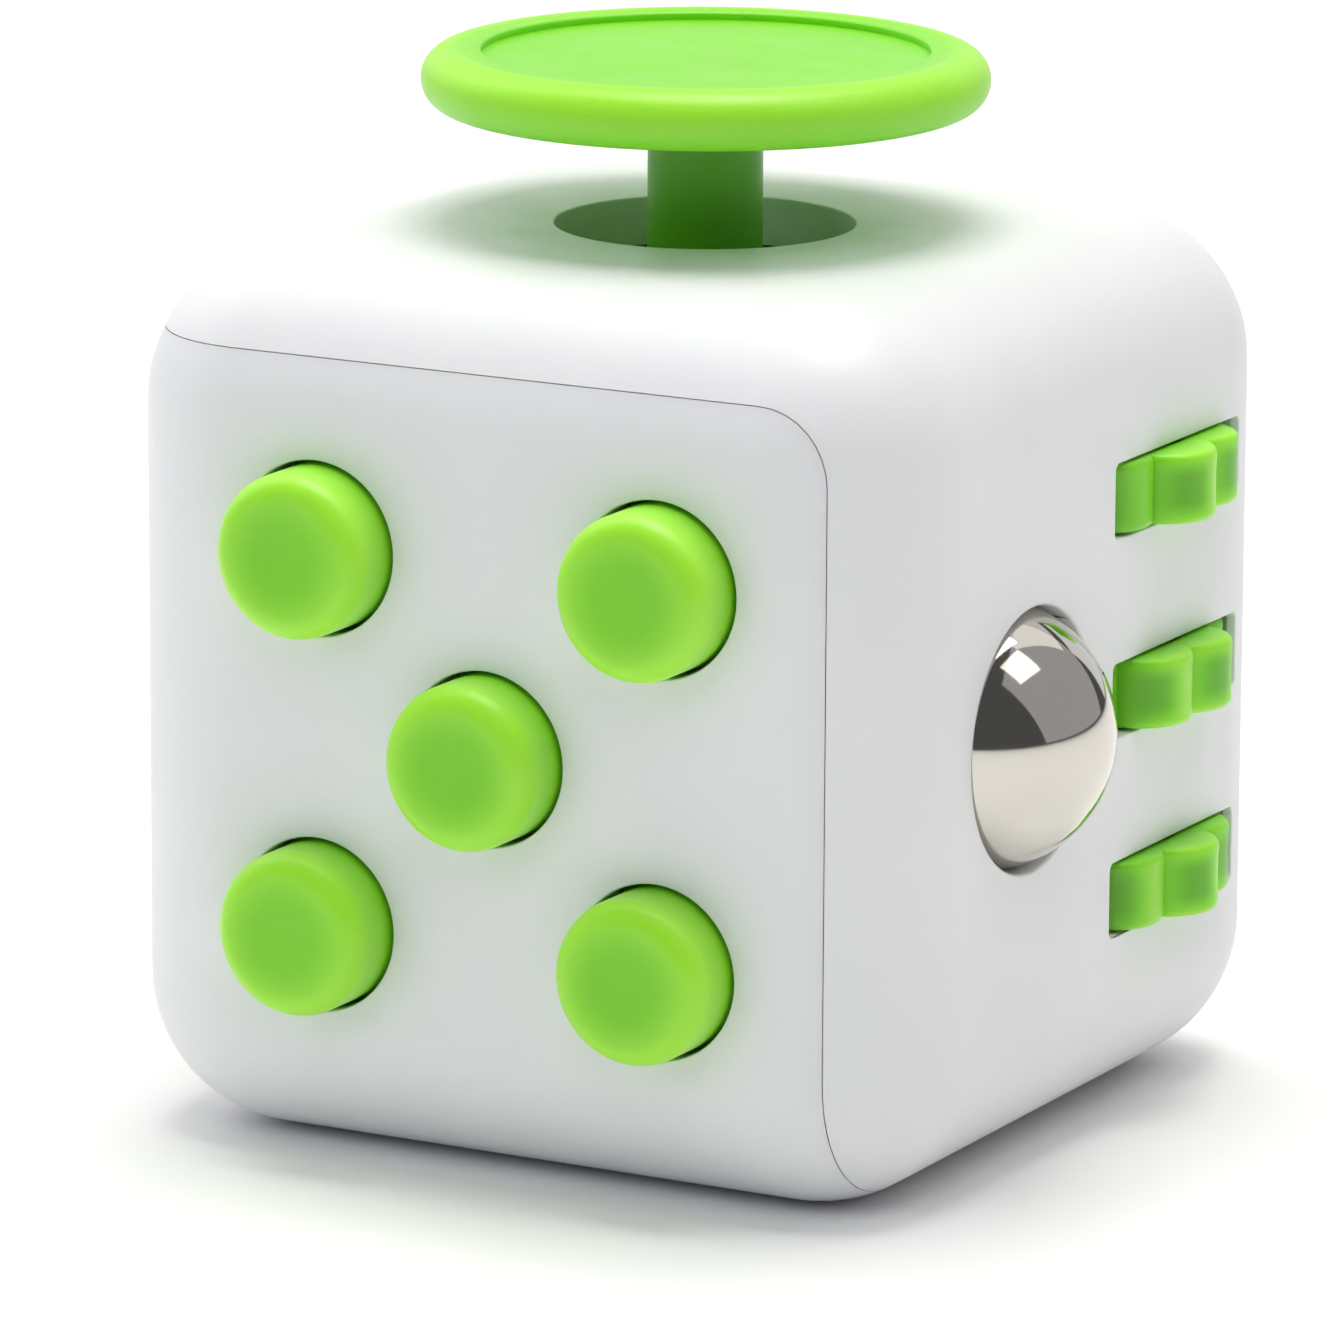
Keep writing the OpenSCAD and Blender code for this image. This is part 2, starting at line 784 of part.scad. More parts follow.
module dial_screws() {
    color("silver") for (z = dial_posts)
        translate([dial_plate_x + dial_plate_thick, 0, z]) rotate([0, -90, 0]) screw(3);
}

// ---- Rocker ----

// Side view of the rocker about its pin: first axis out of the face, second axis up
function rocker_outline() = concat(
    [[-1.6, -5.4]],
    arc(0, 0, rocker_reach, -rocker_corner - 38, -rocker_corner),
    [[rocker_middle, 0]],
    arc(0, 0, rocker_reach, rocker_corner, rocker_corner + 38),
    [[-1.6, 5.4]]
);

// Tilted to its rest stop about the pin
module at_rocker_rest() {
    translate([0, rocker_y, half]) rotate([rocker_tilt, 0, 0]) children();
}

module rocker() {
    color("yellowgreen") at_rocker_rest() difference() {
        union() {
            translate([-rocker_w / 2, 0, 0]) rotate([90, 0, 90]) linear_extrude(rocker_w)
                polygon(rocker_outline());
            y_cylinder(0, 0, -rocker_boss_end, 0, rocker_boss_r);
        }
        x_cylinder(0, 0, -rocker_w, rocker_w, rocker_pin_r + rocker_pin_run);
        y_cylinder(0, 0, -rocker_boss_end - 1, -rocker_pin_r - 0.3, plunger_r + 0.05);
    }
}

module rocker_pin() {
    pin_end = frame_ear_inner + frame_ear_thick;
    color("silver") x_cylinder(rocker_y, half, -pin_end, pin_end, rocker_pin_r);
}

// Frame behind the rocker: plate with two ears and two shallow click notches
module rocker_frame() {
    plate_h = 2 * 9.2 + 2 * post_r;
    ear_h = 4.8;
    ear_end = 14.4;
    color("lightgray") difference() {
        union() {
            translate([0, frame_low_y + frame_thick, half]) along_front() linear_extrude(frame_thick)
                polygon(round_rectangle(2 * (frame_ear_inner + frame_ear_thick), plate_h, 1.2));
            for (side = [-1, 1])
                translate([side * (frame_ear_inner + frame_ear_thick / 2), (frame_low_y + ear_end) / 2, half])
                    cube([frame_ear_thick, ear_end - frame_low_y, ear_h], center = true);
        }
        x_cylinder(rocker_y, half, -rocker_w, rocker_w, rocker_pin_r + 0.01);
        for (side = [-1, 1])
            x_cylinder(frame_low_y + frame_thick + 0.3, half + side * plunger_tip * sin(rocker_tilt),
                -1.5, 1.5, 0.5);
        for (z = rocker_posts) y_cylinder(0, z, frame_low_y - 1, frame_low_y + frame_thick + 1, pilot_r);
    }
}

// Round-nosed plunger in the rocker's boss
module rocker_plunger() {
    nose = plunger_r - 0.1;
    color("silver") at_rocker_rest() {
        y_cylinder(0, 0, -plunger_tip + nose, -2.1, plunger_r - 0.05);
        translate([0, -plunger_tip + nose, 0]) sphere(nose);
    }
}

module rocker_spring() {
    color("silver") at_rocker_rest() translate([0, -1.12, 0]) along_front()
        coil_spring(0.55, 0.12, 0.96, 3, 12);
}

module rocker_screws() {
    color("silver") for (z = rocker_posts)
        translate([0, frame_low_y, z]) rotate([-90, 0, 0]) screw(4.8);
}

front_shell();
rear_shell();
button_upper_left();
button_upper_right();
button_centre();
button_lower_left();
button_lower_right();
button_board();
click_dome_upper_left();
click_dome_centre();
click_dome_lower_right();
soft_dome_upper_right();
soft_dome_lower_left();
board_screws();
joystick();
gimbal_ring();
ring_pins();
stick_pin();
joystick_bracket();
bracket_screws();
centring_foot();
foot_screw();
centring_spring();
spring_seat();
seat_screws();
gear_upper();
gear_middle();
gear_lower();
gear_axle();
spacer_top();
spacer_upper();
spacer_lower();
spacer_bottom();
steel_ball();
ball_cradle();
ball_dome();
ball_bracket();
ball_screws();
dial();
dial_plate();
dial_clip();
dial_detent();
dial_screws();
rocker();
rocker_pin();
rocker_frame();
rocker_plunger();
rocker_spring();
rocker_screws();
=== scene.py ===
"""Looks of a fidget cube: two white moulded shells, lime controls and a polished steel ball.

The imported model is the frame. Every part that shows is rebuilt as a smooth mesh, drawn in
millimetres in the model's own frame and scaled to metres, and rides on the body it belongs to.
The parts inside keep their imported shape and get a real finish.
"""

from __future__ import annotations

import json
import logging
import math
from dataclasses import dataclass, field
from enum import Enum
from typing import Callable, Iterable
import bmesh
import bpy
from mathutils import Matrix, Vector


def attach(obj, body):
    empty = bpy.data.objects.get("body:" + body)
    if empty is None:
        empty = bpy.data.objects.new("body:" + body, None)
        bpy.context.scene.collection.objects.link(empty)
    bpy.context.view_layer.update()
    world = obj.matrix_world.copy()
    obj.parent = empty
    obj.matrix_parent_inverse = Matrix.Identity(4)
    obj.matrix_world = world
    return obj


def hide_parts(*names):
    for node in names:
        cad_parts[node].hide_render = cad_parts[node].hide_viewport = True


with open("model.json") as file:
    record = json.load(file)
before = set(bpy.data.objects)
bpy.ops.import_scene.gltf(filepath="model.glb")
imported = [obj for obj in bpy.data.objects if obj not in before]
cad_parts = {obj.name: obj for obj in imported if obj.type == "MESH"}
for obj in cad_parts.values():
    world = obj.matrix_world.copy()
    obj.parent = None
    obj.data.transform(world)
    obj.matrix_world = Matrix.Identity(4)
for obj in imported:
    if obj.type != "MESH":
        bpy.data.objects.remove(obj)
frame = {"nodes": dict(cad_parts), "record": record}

LOG = logging.getLogger("fidget_cube")
MM = 0.001
# Mesh attribute with painted light and shade, mixed into the plastic's colour.
PAINTED_LIGHT_LAYER = "painted_light_and_shade"
BEVEL_LAYER = "bevel_weight_edge"
SMOOTH_ANGLE = math.radians(32)

Point = tuple[float, float, float]
Profile = list[tuple[float, float]]
Socket = bpy.types.NodeSocket
Solid = bpy.types.Object


# ---------------------------------------------------------------- colours and nodes


def linear(code: str) -> tuple[float, float, float, float]:
    """Turn an sRGB hex colour into linear light.

    Args:
        code: Six hex digits, such as "f2f2ef".

    Returns:
        Red, green, blue and a full alpha, all from 0 to 1.
    """
    parts = [int(code[i : i + 2], 16) / 255 for i in (0, 2, 4)]
    light = [c / 12.92 if c <= 0.04045 else ((c + 0.055) / 1.055) ** 2.4 for c in parts]
    return (light[0], light[1], light[2], 1.0)


@dataclass(frozen=True)
class Surface:
    """One material's nodes, while a finish is laid on them.

    Attributes:
        tree: The material's node tree.
    """

    tree: bpy.types.NodeTree

    def wire(self, target: Socket, value: object) -> None:
        """Feed an input from an output socket, or set it to a plain value.

        Args:
            target: The input.
            value: Output socket or plain value.
        """
        if isinstance(value, Socket):
            self.tree.links.new(value, target)
        else:
            target.default_value = value

    def put(self, name: str, value: object) -> None:
        """Feed or set an input of the material's shader."""
        self.wire(self.tree.nodes["Principled BSDF"].inputs[name], value)

    def add(self, kind: str, values: dict[str, object]) -> bpy.types.Node:
        """Add one node.

        Args:
            kind: Node type without its "ShaderNode" prefix.
            values: Property or input names, each with a plain value or the output socket that feeds it.

        Returns:
            The new node.
        """
        node = self.tree.nodes.new("ShaderNode" + kind)
        for name, value in values.items():
            if hasattr(node, name):
                setattr(node, name, value)
            else:
                self.wire(node.inputs[name], value)
        return node

    def noise(self, size_mm: float, detail: float = 3.0, stretch: Point = (1, 1, 1)) -> Socket:
        """Add a noise pattern whose blotches have a real size.

        Args:
            size_mm: Width of one blotch.
            detail: Number of finer layers.
            stretch: Scale along each axis, for drawn or brushed marks.

        Returns:
            The noise value, from 0 to 1.
        """
        place = self.add("TexCoord", {}).outputs["Object"]
        scaled = self.add("Mapping", {"Scale": stretch, "Vector": place}).outputs["Vector"]
        pattern = {"Scale": 1 / (size_mm * MM), "Detail": detail, "Vector": scaled}
        return self.add("TexNoise", pattern).outputs["Fac"]

    def spread(self, source: Socket, low: float, high: float) -> Socket:
        """Map a pattern from its middle range onto the values low to high.

        Args:
            source: The pattern.
            low: Value at the pattern's low end.
            high: Value at the pattern's high end.

        Returns:
            The mapped value.
        """
        limits = {"From Min": 0.3, "From Max": 0.7, "To Min": low, "To Max": high, "Value": source}
        return self.add("MapRange", limits).outputs["Result"]

    def blend(self, amount: Socket, low: str | Socket, high: str | Socket) -> Socket:
        """Mix two colours.

        Args:
            amount: Share of the second colour.
            low: First colour, a hex code or an output socket.
            high: Second colour, a hex code or an output socket.

        Returns:
            The mixed colour.
        """
        mix = self.add("Mix", {"data_type": "RGBA"})
        self.wire(mix.inputs[0], amount)
        for target, colour in ((mix.inputs[6], low), (mix.inputs[7], high)):
            self.wire(target, linear(colour) if isinstance(colour, str) else colour)
        return mix.outputs[2]

    def edges(self, start: float, end: float) -> Socket:
        """Read the painted light and shade stored on the mesh, over part of its range.

        Args:
            start: Stored value that becomes 0.
            end: Stored value that becomes 1.

        Returns:
            The value.
        """
        layer = self.add("Attribute", {"attribute_name": PAINTED_LIGHT_LAYER})
        limits = {"From Min": start, "From Max": end, "Value": layer.outputs["Fac"]}
        return self.add("MapRange", limits).outputs["Result"]

    def bump(self, height: Socket, depth_mm: float, strength: float) -> None:
        """Raise a pattern as a bump.

        Args:
            height: The pattern.
            depth_mm: Its height.
            strength: How strongly the bump shows.
        """
        relief = {"Strength": strength, "Distance": depth_mm * MM, "Height": height}
        self.put("Normal", self.add("Bump", relief).outputs["Normal"])


# ---------------------------------------------------------------- finishes


@dataclass(frozen=True)
class Finish:
    """What every finish shares: a name and an even ground colour.

    Attributes:
        name: Material name, from the real material and its process.
        colour: sRGB hex of the ground colour.
        roughness: Mean roughness of the surface.
        grain_mm: Size of the surface's finest texture that is drawn.
        grain_depth_mm: Height of that texture.
    """

    name: str
    colour: str
    roughness: float
    grain_mm: float
    grain_depth_mm: float

    def make(self) -> bpy.types.Material:
        """Build the material.

        Returns:
            The finished material.
        """
        material = bpy.data.materials.new(self.name)
        material.use_nodes = True
        material.diffuse_color = linear(self.colour)
        surface = Surface(material.node_tree)
        surface.put("Base Color", linear(self.colour))
        self.dress(surface)
        return material

    def grain(self, surface: Surface, strength: float) -> None:
        """Raise the fine surface texture as a bump of the given strength."""
        surface.bump(surface.noise(self.grain_mm, 4.0), self.grain_depth_mm, strength)

    def dress(self, surface: Surface) -> None:
        """Set this finish's nodes; each kind of finish has its own."""
        raise NotImplementedError


@dataclass(frozen=True)
class MouldedAbs(Finish):
    """Injection-moulded ABS from a spark-eroded mould: an even satin with a very fine grain.

    Attributes:
        flow_colour: Hex of the slightly different tint in the flow marks.
        painted_highlight_colour: Hex of the painted highlight on edges, for light passing and scattering
            there.
        painted_shade_colour: Hex of the painted shade on shaded plastic.
        glow: Share of light that enters the plastic and comes out nearby.
        glow_mm: How far red, green and blue light travel inside it.
    """

    flow_colour: str = "ffffff"
    painted_highlight_colour: str = "ffffff"
    painted_shade_colour: str = "ffffff"
    glow: float = 0.1
    glow_mm: Point = (0.6, 0.6, 0.6)

    def dress(self, surface: Surface) -> None:
        """Lay flow marks, painted highlights and painted shade, satin roughness and mould grain on the
        plastic.

        Args:
            surface: Nodes that take them.
        """
        flow_mm, smudge_mm = 9.0, 2.2
        flow = surface.spread(surface.noise(flow_mm, 2.0), 0.0, 1.0)
        ground = surface.blend(flow, self.colour, self.flow_colour)
        # Painted shade where the stored share is below the middle, painted highlight on edges where it is
        # above.
        thick = surface.blend(surface.edges(0.0, 0.5), self.painted_shade_colour, ground)
        surface.put("Base Color", surface.blend(surface.edges(0.5, 1.0), thick, self.painted_highlight_colour))
        handled = surface.noise(smudge_mm, 5.0)
        surface.put("Roughness", surface.spread(handled, self.roughness - 0.05, self.roughness + 0.06))
        surface.put("IOR", 1.53)
        surface.put("Subsurface Weight", self.glow)
        surface.put("Subsurface Radius", self.glow_mm)
        surface.put("Subsurface Scale", MM)
        self.grain(surface, 0.5)


@dataclass(frozen=True)
class PolishedBall(Finish):
    """Mirror-polished bearing steel: sharp reflections, faint smudges from handling."""

    def dress(self, surface: Surface) -> None:
        """Make a mirror whose roughness rises a little in the smudges.

        Args:
            surface: Nodes that take it.
        """
        smudge_mm = 1.6
        surface.put("Metallic", 1.0)
        smudge = surface.noise(smudge_mm, 6.0)
        surface.put("Roughness", surface.spread(smudge, self.roughness, self.roughness + 0.05))
        self.grain(surface, 0.06)


@dataclass(frozen=True)
class MachinedSteel(Finish):
    """Turned, drawn or plated steel: metallic, with fine marks along the drawing direction."""

    stretch: Point = (1, 1, 6)
    bright_colour: str = "f2f0ec"

    def dress(self, surface: Surface) -> None:
        """Add fine directional marks to the colour, roughness and bump.

        Args:
            surface: Nodes that take them.
        """
        surface.put("Metallic", 1.0)
        marks = surface.noise(self.grain_mm, 4.0, self.stretch)
        tint = surface.blend(surface.spread(marks, 0.0, 1.0), self.colour, self.bright_colour)
        surface.put("Base Color", tint)
        surface.put("Roughness", surface.spread(marks, self.roughness - 0.06, self.roughness + 0.1))
        surface.bump(marks, self.grain_depth_mm, 0.3)


@dataclass(frozen=True)
class PlainPolymer(Finish):
    """Plain inner plastic or rubber: slightly cloudy colour and a light mould grain."""

    cloud_colour: str = "ffffff"
    cloud_mm: float = 1.5

    def dress(self, surface: Surface) -> None:
        """Cloud the colour, vary the roughness and raise the grain.

        Args:
            surface: Nodes that take them.
        """
        cloud = surface.spread(surface.noise(self.cloud_mm), 0.0, 1.0)
        surface.put("Base Color", surface.blend(cloud, self.colour, self.cloud_colour))
        surface.put("Roughness", surface.spread(cloud, self.roughness - 0.04, self.roughness + 0.06))
        surface.put("IOR", 1.5)
        self.grain(surface, 0.4)


@dataclass(frozen=True)
class StudioPaper(Finish):
    """Matte white backdrop paper: nearly even, with a faint fibre tone."""

    def dress(self, surface: Surface) -> None:
        """Keep it matte, with a very slight fibre bump.

        Args:
            surface: Nodes that take it.
        """
        surface.put("Roughness", self.roughness)
        surface.put("Specular IOR Level", 0.2)
        self.grain(surface, 0.2)


class Slot(Enum):
    """The record's material slots."""

    WHITE_ABS = "white_abs"
    GREEN_ABS = "green_abs"
    BOARD = "board"
    SPRING_STEEL = "spring_steel"
    SILICONE = "silicone"
    SCREW_STEEL = "screw_steel"
    PIN_STEEL = "pin_steel"
    POLISHED_STEEL = "polished_steel"
    ACETAL = "acetal"
    GREY_ABS = "grey_abs"


FINISHES: dict[Slot, Finish] = {
    # After the flow tint come the painted highlight and painted shade colours; the shells take an even share.
    Slot.WHITE_ABS: MouldedAbs(
        "moulded_white_abs", "e9eaed", 0.42, 0.16, 0.010, "ecedee", "f6f6f4", "dfe0e0", 0.12, (0.7, 0.65, 0.6)
    ),
    # After the flow tint: painted highlight a8ee3a and painted shade 5fae12.
    Slot.GREEN_ABS: MouldedAbs(
        "moulded_lime_abs", "81da1c", 0.40, 0.14, 0.010, "7cd41a", "a8ee3a", "5fae12", 0.35, (0.5, 0.9, 0.12)
    ),
    Slot.BOARD: PlainPolymer("pressed_green_laminate", "1f6b3a", 0.5, 0.2, 0.01, "2a7a45", 0.6),
    Slot.SPRING_STEEL: MachinedSteel("drawn_spring_steel", "b9b7b2", 0.25, 0.2, 0.004),
    Slot.SILICONE: PlainPolymer("moulded_grey_silicone", "55585a", 0.6, 0.3, 0.02, "606365"),
    Slot.SCREW_STEEL: MachinedSteel("zinc_plated_steel", "a9adb0", 0.32, 0.15, 0.006, (1, 1, 1)),
    Slot.PIN_STEEL: MachinedSteel("ground_steel", "c3c2be", 0.2, 0.12, 0.003, (1, 1, 8)),
    Slot.POLISHED_STEEL: PolishedBall("polished_bearing_steel", "cfcbc3", 0.035, 0.5, 0.002),
    Slot.ACETAL: PlainPolymer("machined_natural_acetal", "e6e4dc", 0.35, 0.2, 0.008, "efeee8"),
    Slot.GREY_ABS: PlainPolymer("moulded_grey_abs", "9a9c9f", 0.45, 0.2, 0.012, "a2a4a6"),
}


class Palette:
    """Makes each finish's material once and hands it out by slot."""

    def __init__(self) -> None:
        """Start with no material made."""
        self._made: dict[Slot, bpy.types.Material] = {}

    def material(self, slot: Slot) -> bpy.types.Material:
        """Return the slot's material, making it the first time."""
        if slot not in self._made:
            self._made[slot] = FINISHES[slot].make()
        return self._made[slot]


# ---------------------------------------------------------------- shapes


@dataclass
class Form:
    """A shape in millimetres, as points and faces.

    Attributes:
        points: Corner points.
        faces: Corner indices of each face, turning outwards.
    """

    points: list[Point] = field(default_factory=list)
    faces: list[tuple[int, ...]] = field(default_factory=list)

    def placed(self, matrix: Matrix) -> Form:
        """Return the same shape moved by a matrix."""
        return Form([tuple(matrix @ Vector(p)) for p in self.points], list(self.faces))

    def as_object(self, name: str) -> Solid:
        """Make the shape a Blender object, still in millimetres.

        Args:
            name: Name of the object.

        Returns:
            The object, with touching points joined and its faces turned outwards.
        """
        mesh = bpy.data.meshes.new(name)
        mesh.from_pydata(self.points, [], self.faces)
        work = bmesh.new()
        work.from_mesh(mesh)
        bmesh.ops.remove_doubles(work, verts=work.verts, dist=1e-5)
        bmesh.ops.recalc_face_normals(work, faces=work.faces)
        work.to_mesh(mesh)
        work.free()
        obj = bpy.data.objects.new(name, mesh)
        bpy.context.scene.collection.objects.link(obj)
        return obj


class Facing(Enum):
    """Which way a part drawn along +Z is turned, by the face of the cube it sits in."""

    FRONT = (math.pi / 2, 0.0)
    BACK = (-math.pi / 2, 0.0)
    RIGHT = (0.0, math.pi / 2)
    LEFT = (0.0, -math.pi / 2)
    TOP = (0.0, 0.0)

    def matrix(self, at: Point) -> Matrix:
        """Return the move that turns the part this way and sets it at a point.

        Args:
            at: Where the part's own origin goes.

        Returns:
            The move.
        """
        about_x, about_y = self.value
        turn = Matrix.Rotation(about_x, 4, "X") @ Matrix.Rotation(about_y, 4, "Y")
        return Matrix.Translation(at) @ turn


def arc(x: float, y: float, r: float, start: float, end: float, steps: int) -> Profile:
    """List points along an arc.

    Args:
        x: Centre's first coordinate.
        y: Centre's second coordinate.
        r: Radius.
        start: First angle in degrees.
        end: Last angle in degrees.
        steps: Number of stretches between the points.

    Returns:
        The points, both ends included.
    """
    angles = [math.radians(start + (end - start) * i / steps) for i in range(steps + 1)]
    return [(x + r * math.cos(a), y + r * math.sin(a)) for a in angles]


def turned(profile: Profile, steps: int = 96) -> Form:
    """Turn a profile about the Z axis.

    Args:
        profile: Points (radius, height); a closed shape starts and ends on the axis or on itself.
        steps: Number of stretches round the axis.

    Returns:
        The turned shape.
    """
    form = Form()
    for i in range(steps):
        a = 2 * math.pi * i / steps
        form.points += [(r * math.cos(a), r * math.sin(a), z) for r, z in profile]
    count = len(profile)
    for i in range(steps):
        here, there = i * count, (i + 1) % steps * count
        for k in range(count - 1):
            corners = [here + k, there + k, there + k + 1, here + k + 1]
            if profile[k][0] < 1e-9:
                corners = [here + k, there + k + 1, here + k + 1]
            elif profile[k + 1][0] < 1e-9:
                corners = [here + k, there + k, here + k + 1]
            form.faces.append(tuple(corners))
    return form


def stitched(rings: list[list[Point]]) -> Form:
    """Join closed rings of points, one after the other and the last to the first.

    Args:
        rings: The rings, each with the same number of points.

    Returns:
        The closed tube.
    """
    count = len(rings[0])
    form = Form([point for ring in rings for point in ring])
    for row in range(len(rings)):
        here, there = row * count, (row + 1) % len(rings) * count
        for k in range(count):
            after = (k + 1) % count
            form.faces.append((here + k, here + after, there + after, there + k))
    return form


def prism(outline: Profile, low: float, high: float) -> Form:
    """Raise an outline into a solid between two heights.

    Args:
        outline: Points (x, y) round the solid.
        low: Height of its underside.
        high: Height of its top.

    Returns:
        The solid.
    """
    count = len(outline)
    form = Form([(x, y, low) for x, y in outline] + [(x, y, high) for x, y in outline])
    form.faces = [tuple(range(count - 1, -1, -1)), tuple(range(count, 2 * count))]
    form.faces += [(i, (i + 1) % count, count + (i + 1) % count, count + i) for i in range(count)]
    return form


def round_rectangle(w: float, h: float, r: float, steps: int = 8) -> Profile:
    """List the outline of a rectangle with round corners, centred on the origin.

    Args:
        w: Width along X.
        h: Height along Y.
        r: Radius of the corners.
        steps: Stretches in each corner.

    Returns:
        The outline's points.
    """
    outline: Profile = []
    for x, y, start in ((1, 1, 0), (-1, 1, 90), (-1, -1, 180), (1, -1, 270)):
        outline += arc(x * (w / 2 - r), y * (h / 2 - r), r, start, start + 90, steps)
    return outline


def rounded_block(low: Point, high: Point, r: float, steps: int = 8) -> Form:
    """Make a block whose edges and corners are rounded to one radius.

    Args:
        low: Lowest corner.
        high: Highest corner.
        r: Radius of the edges.
        steps: Stretches in half of one edge's quarter turn.

    Returns:
        The block, with one large face on each side and even strips round the edges.
    """
    form = Form()
    slopes = [math.tan(math.pi / 4 * (i / steps)) for i in range(steps, -1, -1)]
    for axis in range(3):
        u, v = (axis + 1) % 3, (axis + 2) % 3
        for side in (-1, 1):
            start = len(form.points)
            stops = [(-1, -s) for s in slopes] + [(1, s) for s in reversed(slopes)]
            for side_u, slope_u in stops:
                for side_v, slope_v in stops:
                    out = [0.0, 0.0, 0.0]
                    out[axis], out[u], out[v] = side, slope_u, slope_v
                    length = math.sqrt(sum(c * c for c in out))
                    ends = {axis: side, u: side_u, v: side_v}
                    core = [high[k] - r if ends[k] > 0 else low[k] + r for k in range(3)]
                    form.points.append(tuple(core[k] + r * out[k] / length for k in range(3)))
            n = len(stops)
            for i in range(n - 1):
                for j in range(n - 1):
                    a = start + i * n + j
                    form.faces.append((a, a + n, a + n + 1, a + 1))
    return form


def carve(base: Solid, tools: Iterable[Solid], how: str = "DIFFERENCE") -> None:
    """Combine a solid with others and throw the others away.

    Args:
        base: Solid that is changed.
        tools: Solids that cut it, join it or bound it.
        how: Blender's name for the operation.
    """
    for tool in tools:
        step = base.modifiers.new("carve", "BOOLEAN")
        step.object = tool
        step.operation = how
        step.solver = "EXACT"
        bake_modifiers(base)
        bpy.data.objects.remove(tool)


def bake_modifiers(obj: Solid) -> None:
    """Turn an object's modifiers into mesh.

    Args:
        obj: Object whose modifiers are used up.
    """
    shape = obj.evaluated_get(bpy.context.evaluated_depsgraph_get())
    mesh = bpy.data.meshes.new_from_object(shape)
    obj.modifiers.clear()
    old = obj.data
    obj.data = mesh
    mesh.name = old.name
    bpy.data.meshes.remove(old)


def soften(obj: Solid, width: Callable[[Vector], float], steps: int = 3) -> None:
    """Round the sharp edges of a solid.

    Args:
        obj: Solid in millimetres.
        width: Gives the rounding in millimetres for an edge, from its middle point.
        steps: Stretches across each rounding.
    """
    work = bmesh.new()
    work.from_mesh(obj.data)
    layers = work.edges.layers.float
    weights = layers.get(BEVEL_LAYER) or layers.new(BEVEL_LAYER)
    wanted = {}
    for edge in work.edges:
        if len(edge.link_faces) == 2 and edge.calc_face_angle(0.0) > SMOOTH_ANGLE:
            wanted[edge.index] = width((edge.verts[0].co + edge.verts[1].co) / 2)
    widest = max(wanted.values(), default=0.0)
    work.edges.ensure_lookup_table()
    for index, size in wanted.items():
        work.edges[index][weights] = size / widest if widest else 0.0
    work.to_mesh(obj.data)
    work.free()
    if widest:
        step = obj.modifiers.new("soften", "BEVEL")
        step.limit_method = "WEIGHT"
        step.width = widest
        step.segments = steps
        step.use_clamp_overlap = False
        bake_modifiers(obj)


def ramp(value: float, start: float, end: float) -> float:
    """Rise smoothly from 0 at start to 1 at end."""
    share = min(max((value - start) / (end - start), 0.0), 1.0)
    return share * share * (3 - 2 * share)


def mark_painted_light(mesh: bpy.types.Mesh, share: Callable[[Vector], float]) -> None:
    """Store on each point the painted light and shade there.

    Args:
        mesh: Mesh in millimetres.
        share: Gives the painted light and shade, from 0 to 1, for a point.
    """
    layer = mesh.attributes.new(PAINTED_LIGHT_LAYER, "FLOAT", "POINT")
    layer.data.foreach_set("value", [share(vert.co) for vert in mesh.vertices])


class Workshop:
    """Finishes shapes as pieces of the object and reports them."""

    def __init__(self, palette: Palette) -> None:
        """Keep the palette that dresses the pieces."""
        self.palette = palette

    def piece(
        self,
        obj: Solid,
        body: str,
        slot: Slot,
        node: str,
        painted_light_share: Callable[[Vector], float] = lambda point: 0.5,
    ) -> None:
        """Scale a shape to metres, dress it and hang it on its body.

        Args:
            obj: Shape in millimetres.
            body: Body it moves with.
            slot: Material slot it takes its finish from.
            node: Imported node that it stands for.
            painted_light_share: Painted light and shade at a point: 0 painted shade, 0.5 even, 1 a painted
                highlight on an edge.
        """
        mesh = obj.data
        # Store the painted light and shade on the mesh.
        mark_painted_light(mesh, painted_light_share)
        mesh.transform(Matrix.Scale(MM, 4))
        mesh.shade_smooth()
        mesh.set_sharp_from_angle(angle=SMOOTH_ANGLE)
        mesh.materials.clear()
        mesh.materials.append(self.palette.material(slot))
        even = obj.modifiers.new("even_normals", "WEIGHTED_NORMAL")
        even.keep_sharp = True
        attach(obj, body)
        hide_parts(node)
        LOG.info("%s: %d faces on %s", obj.name, len(mesh.polygons), body)


# ---------------------------------------------------------------- sub-assemblies


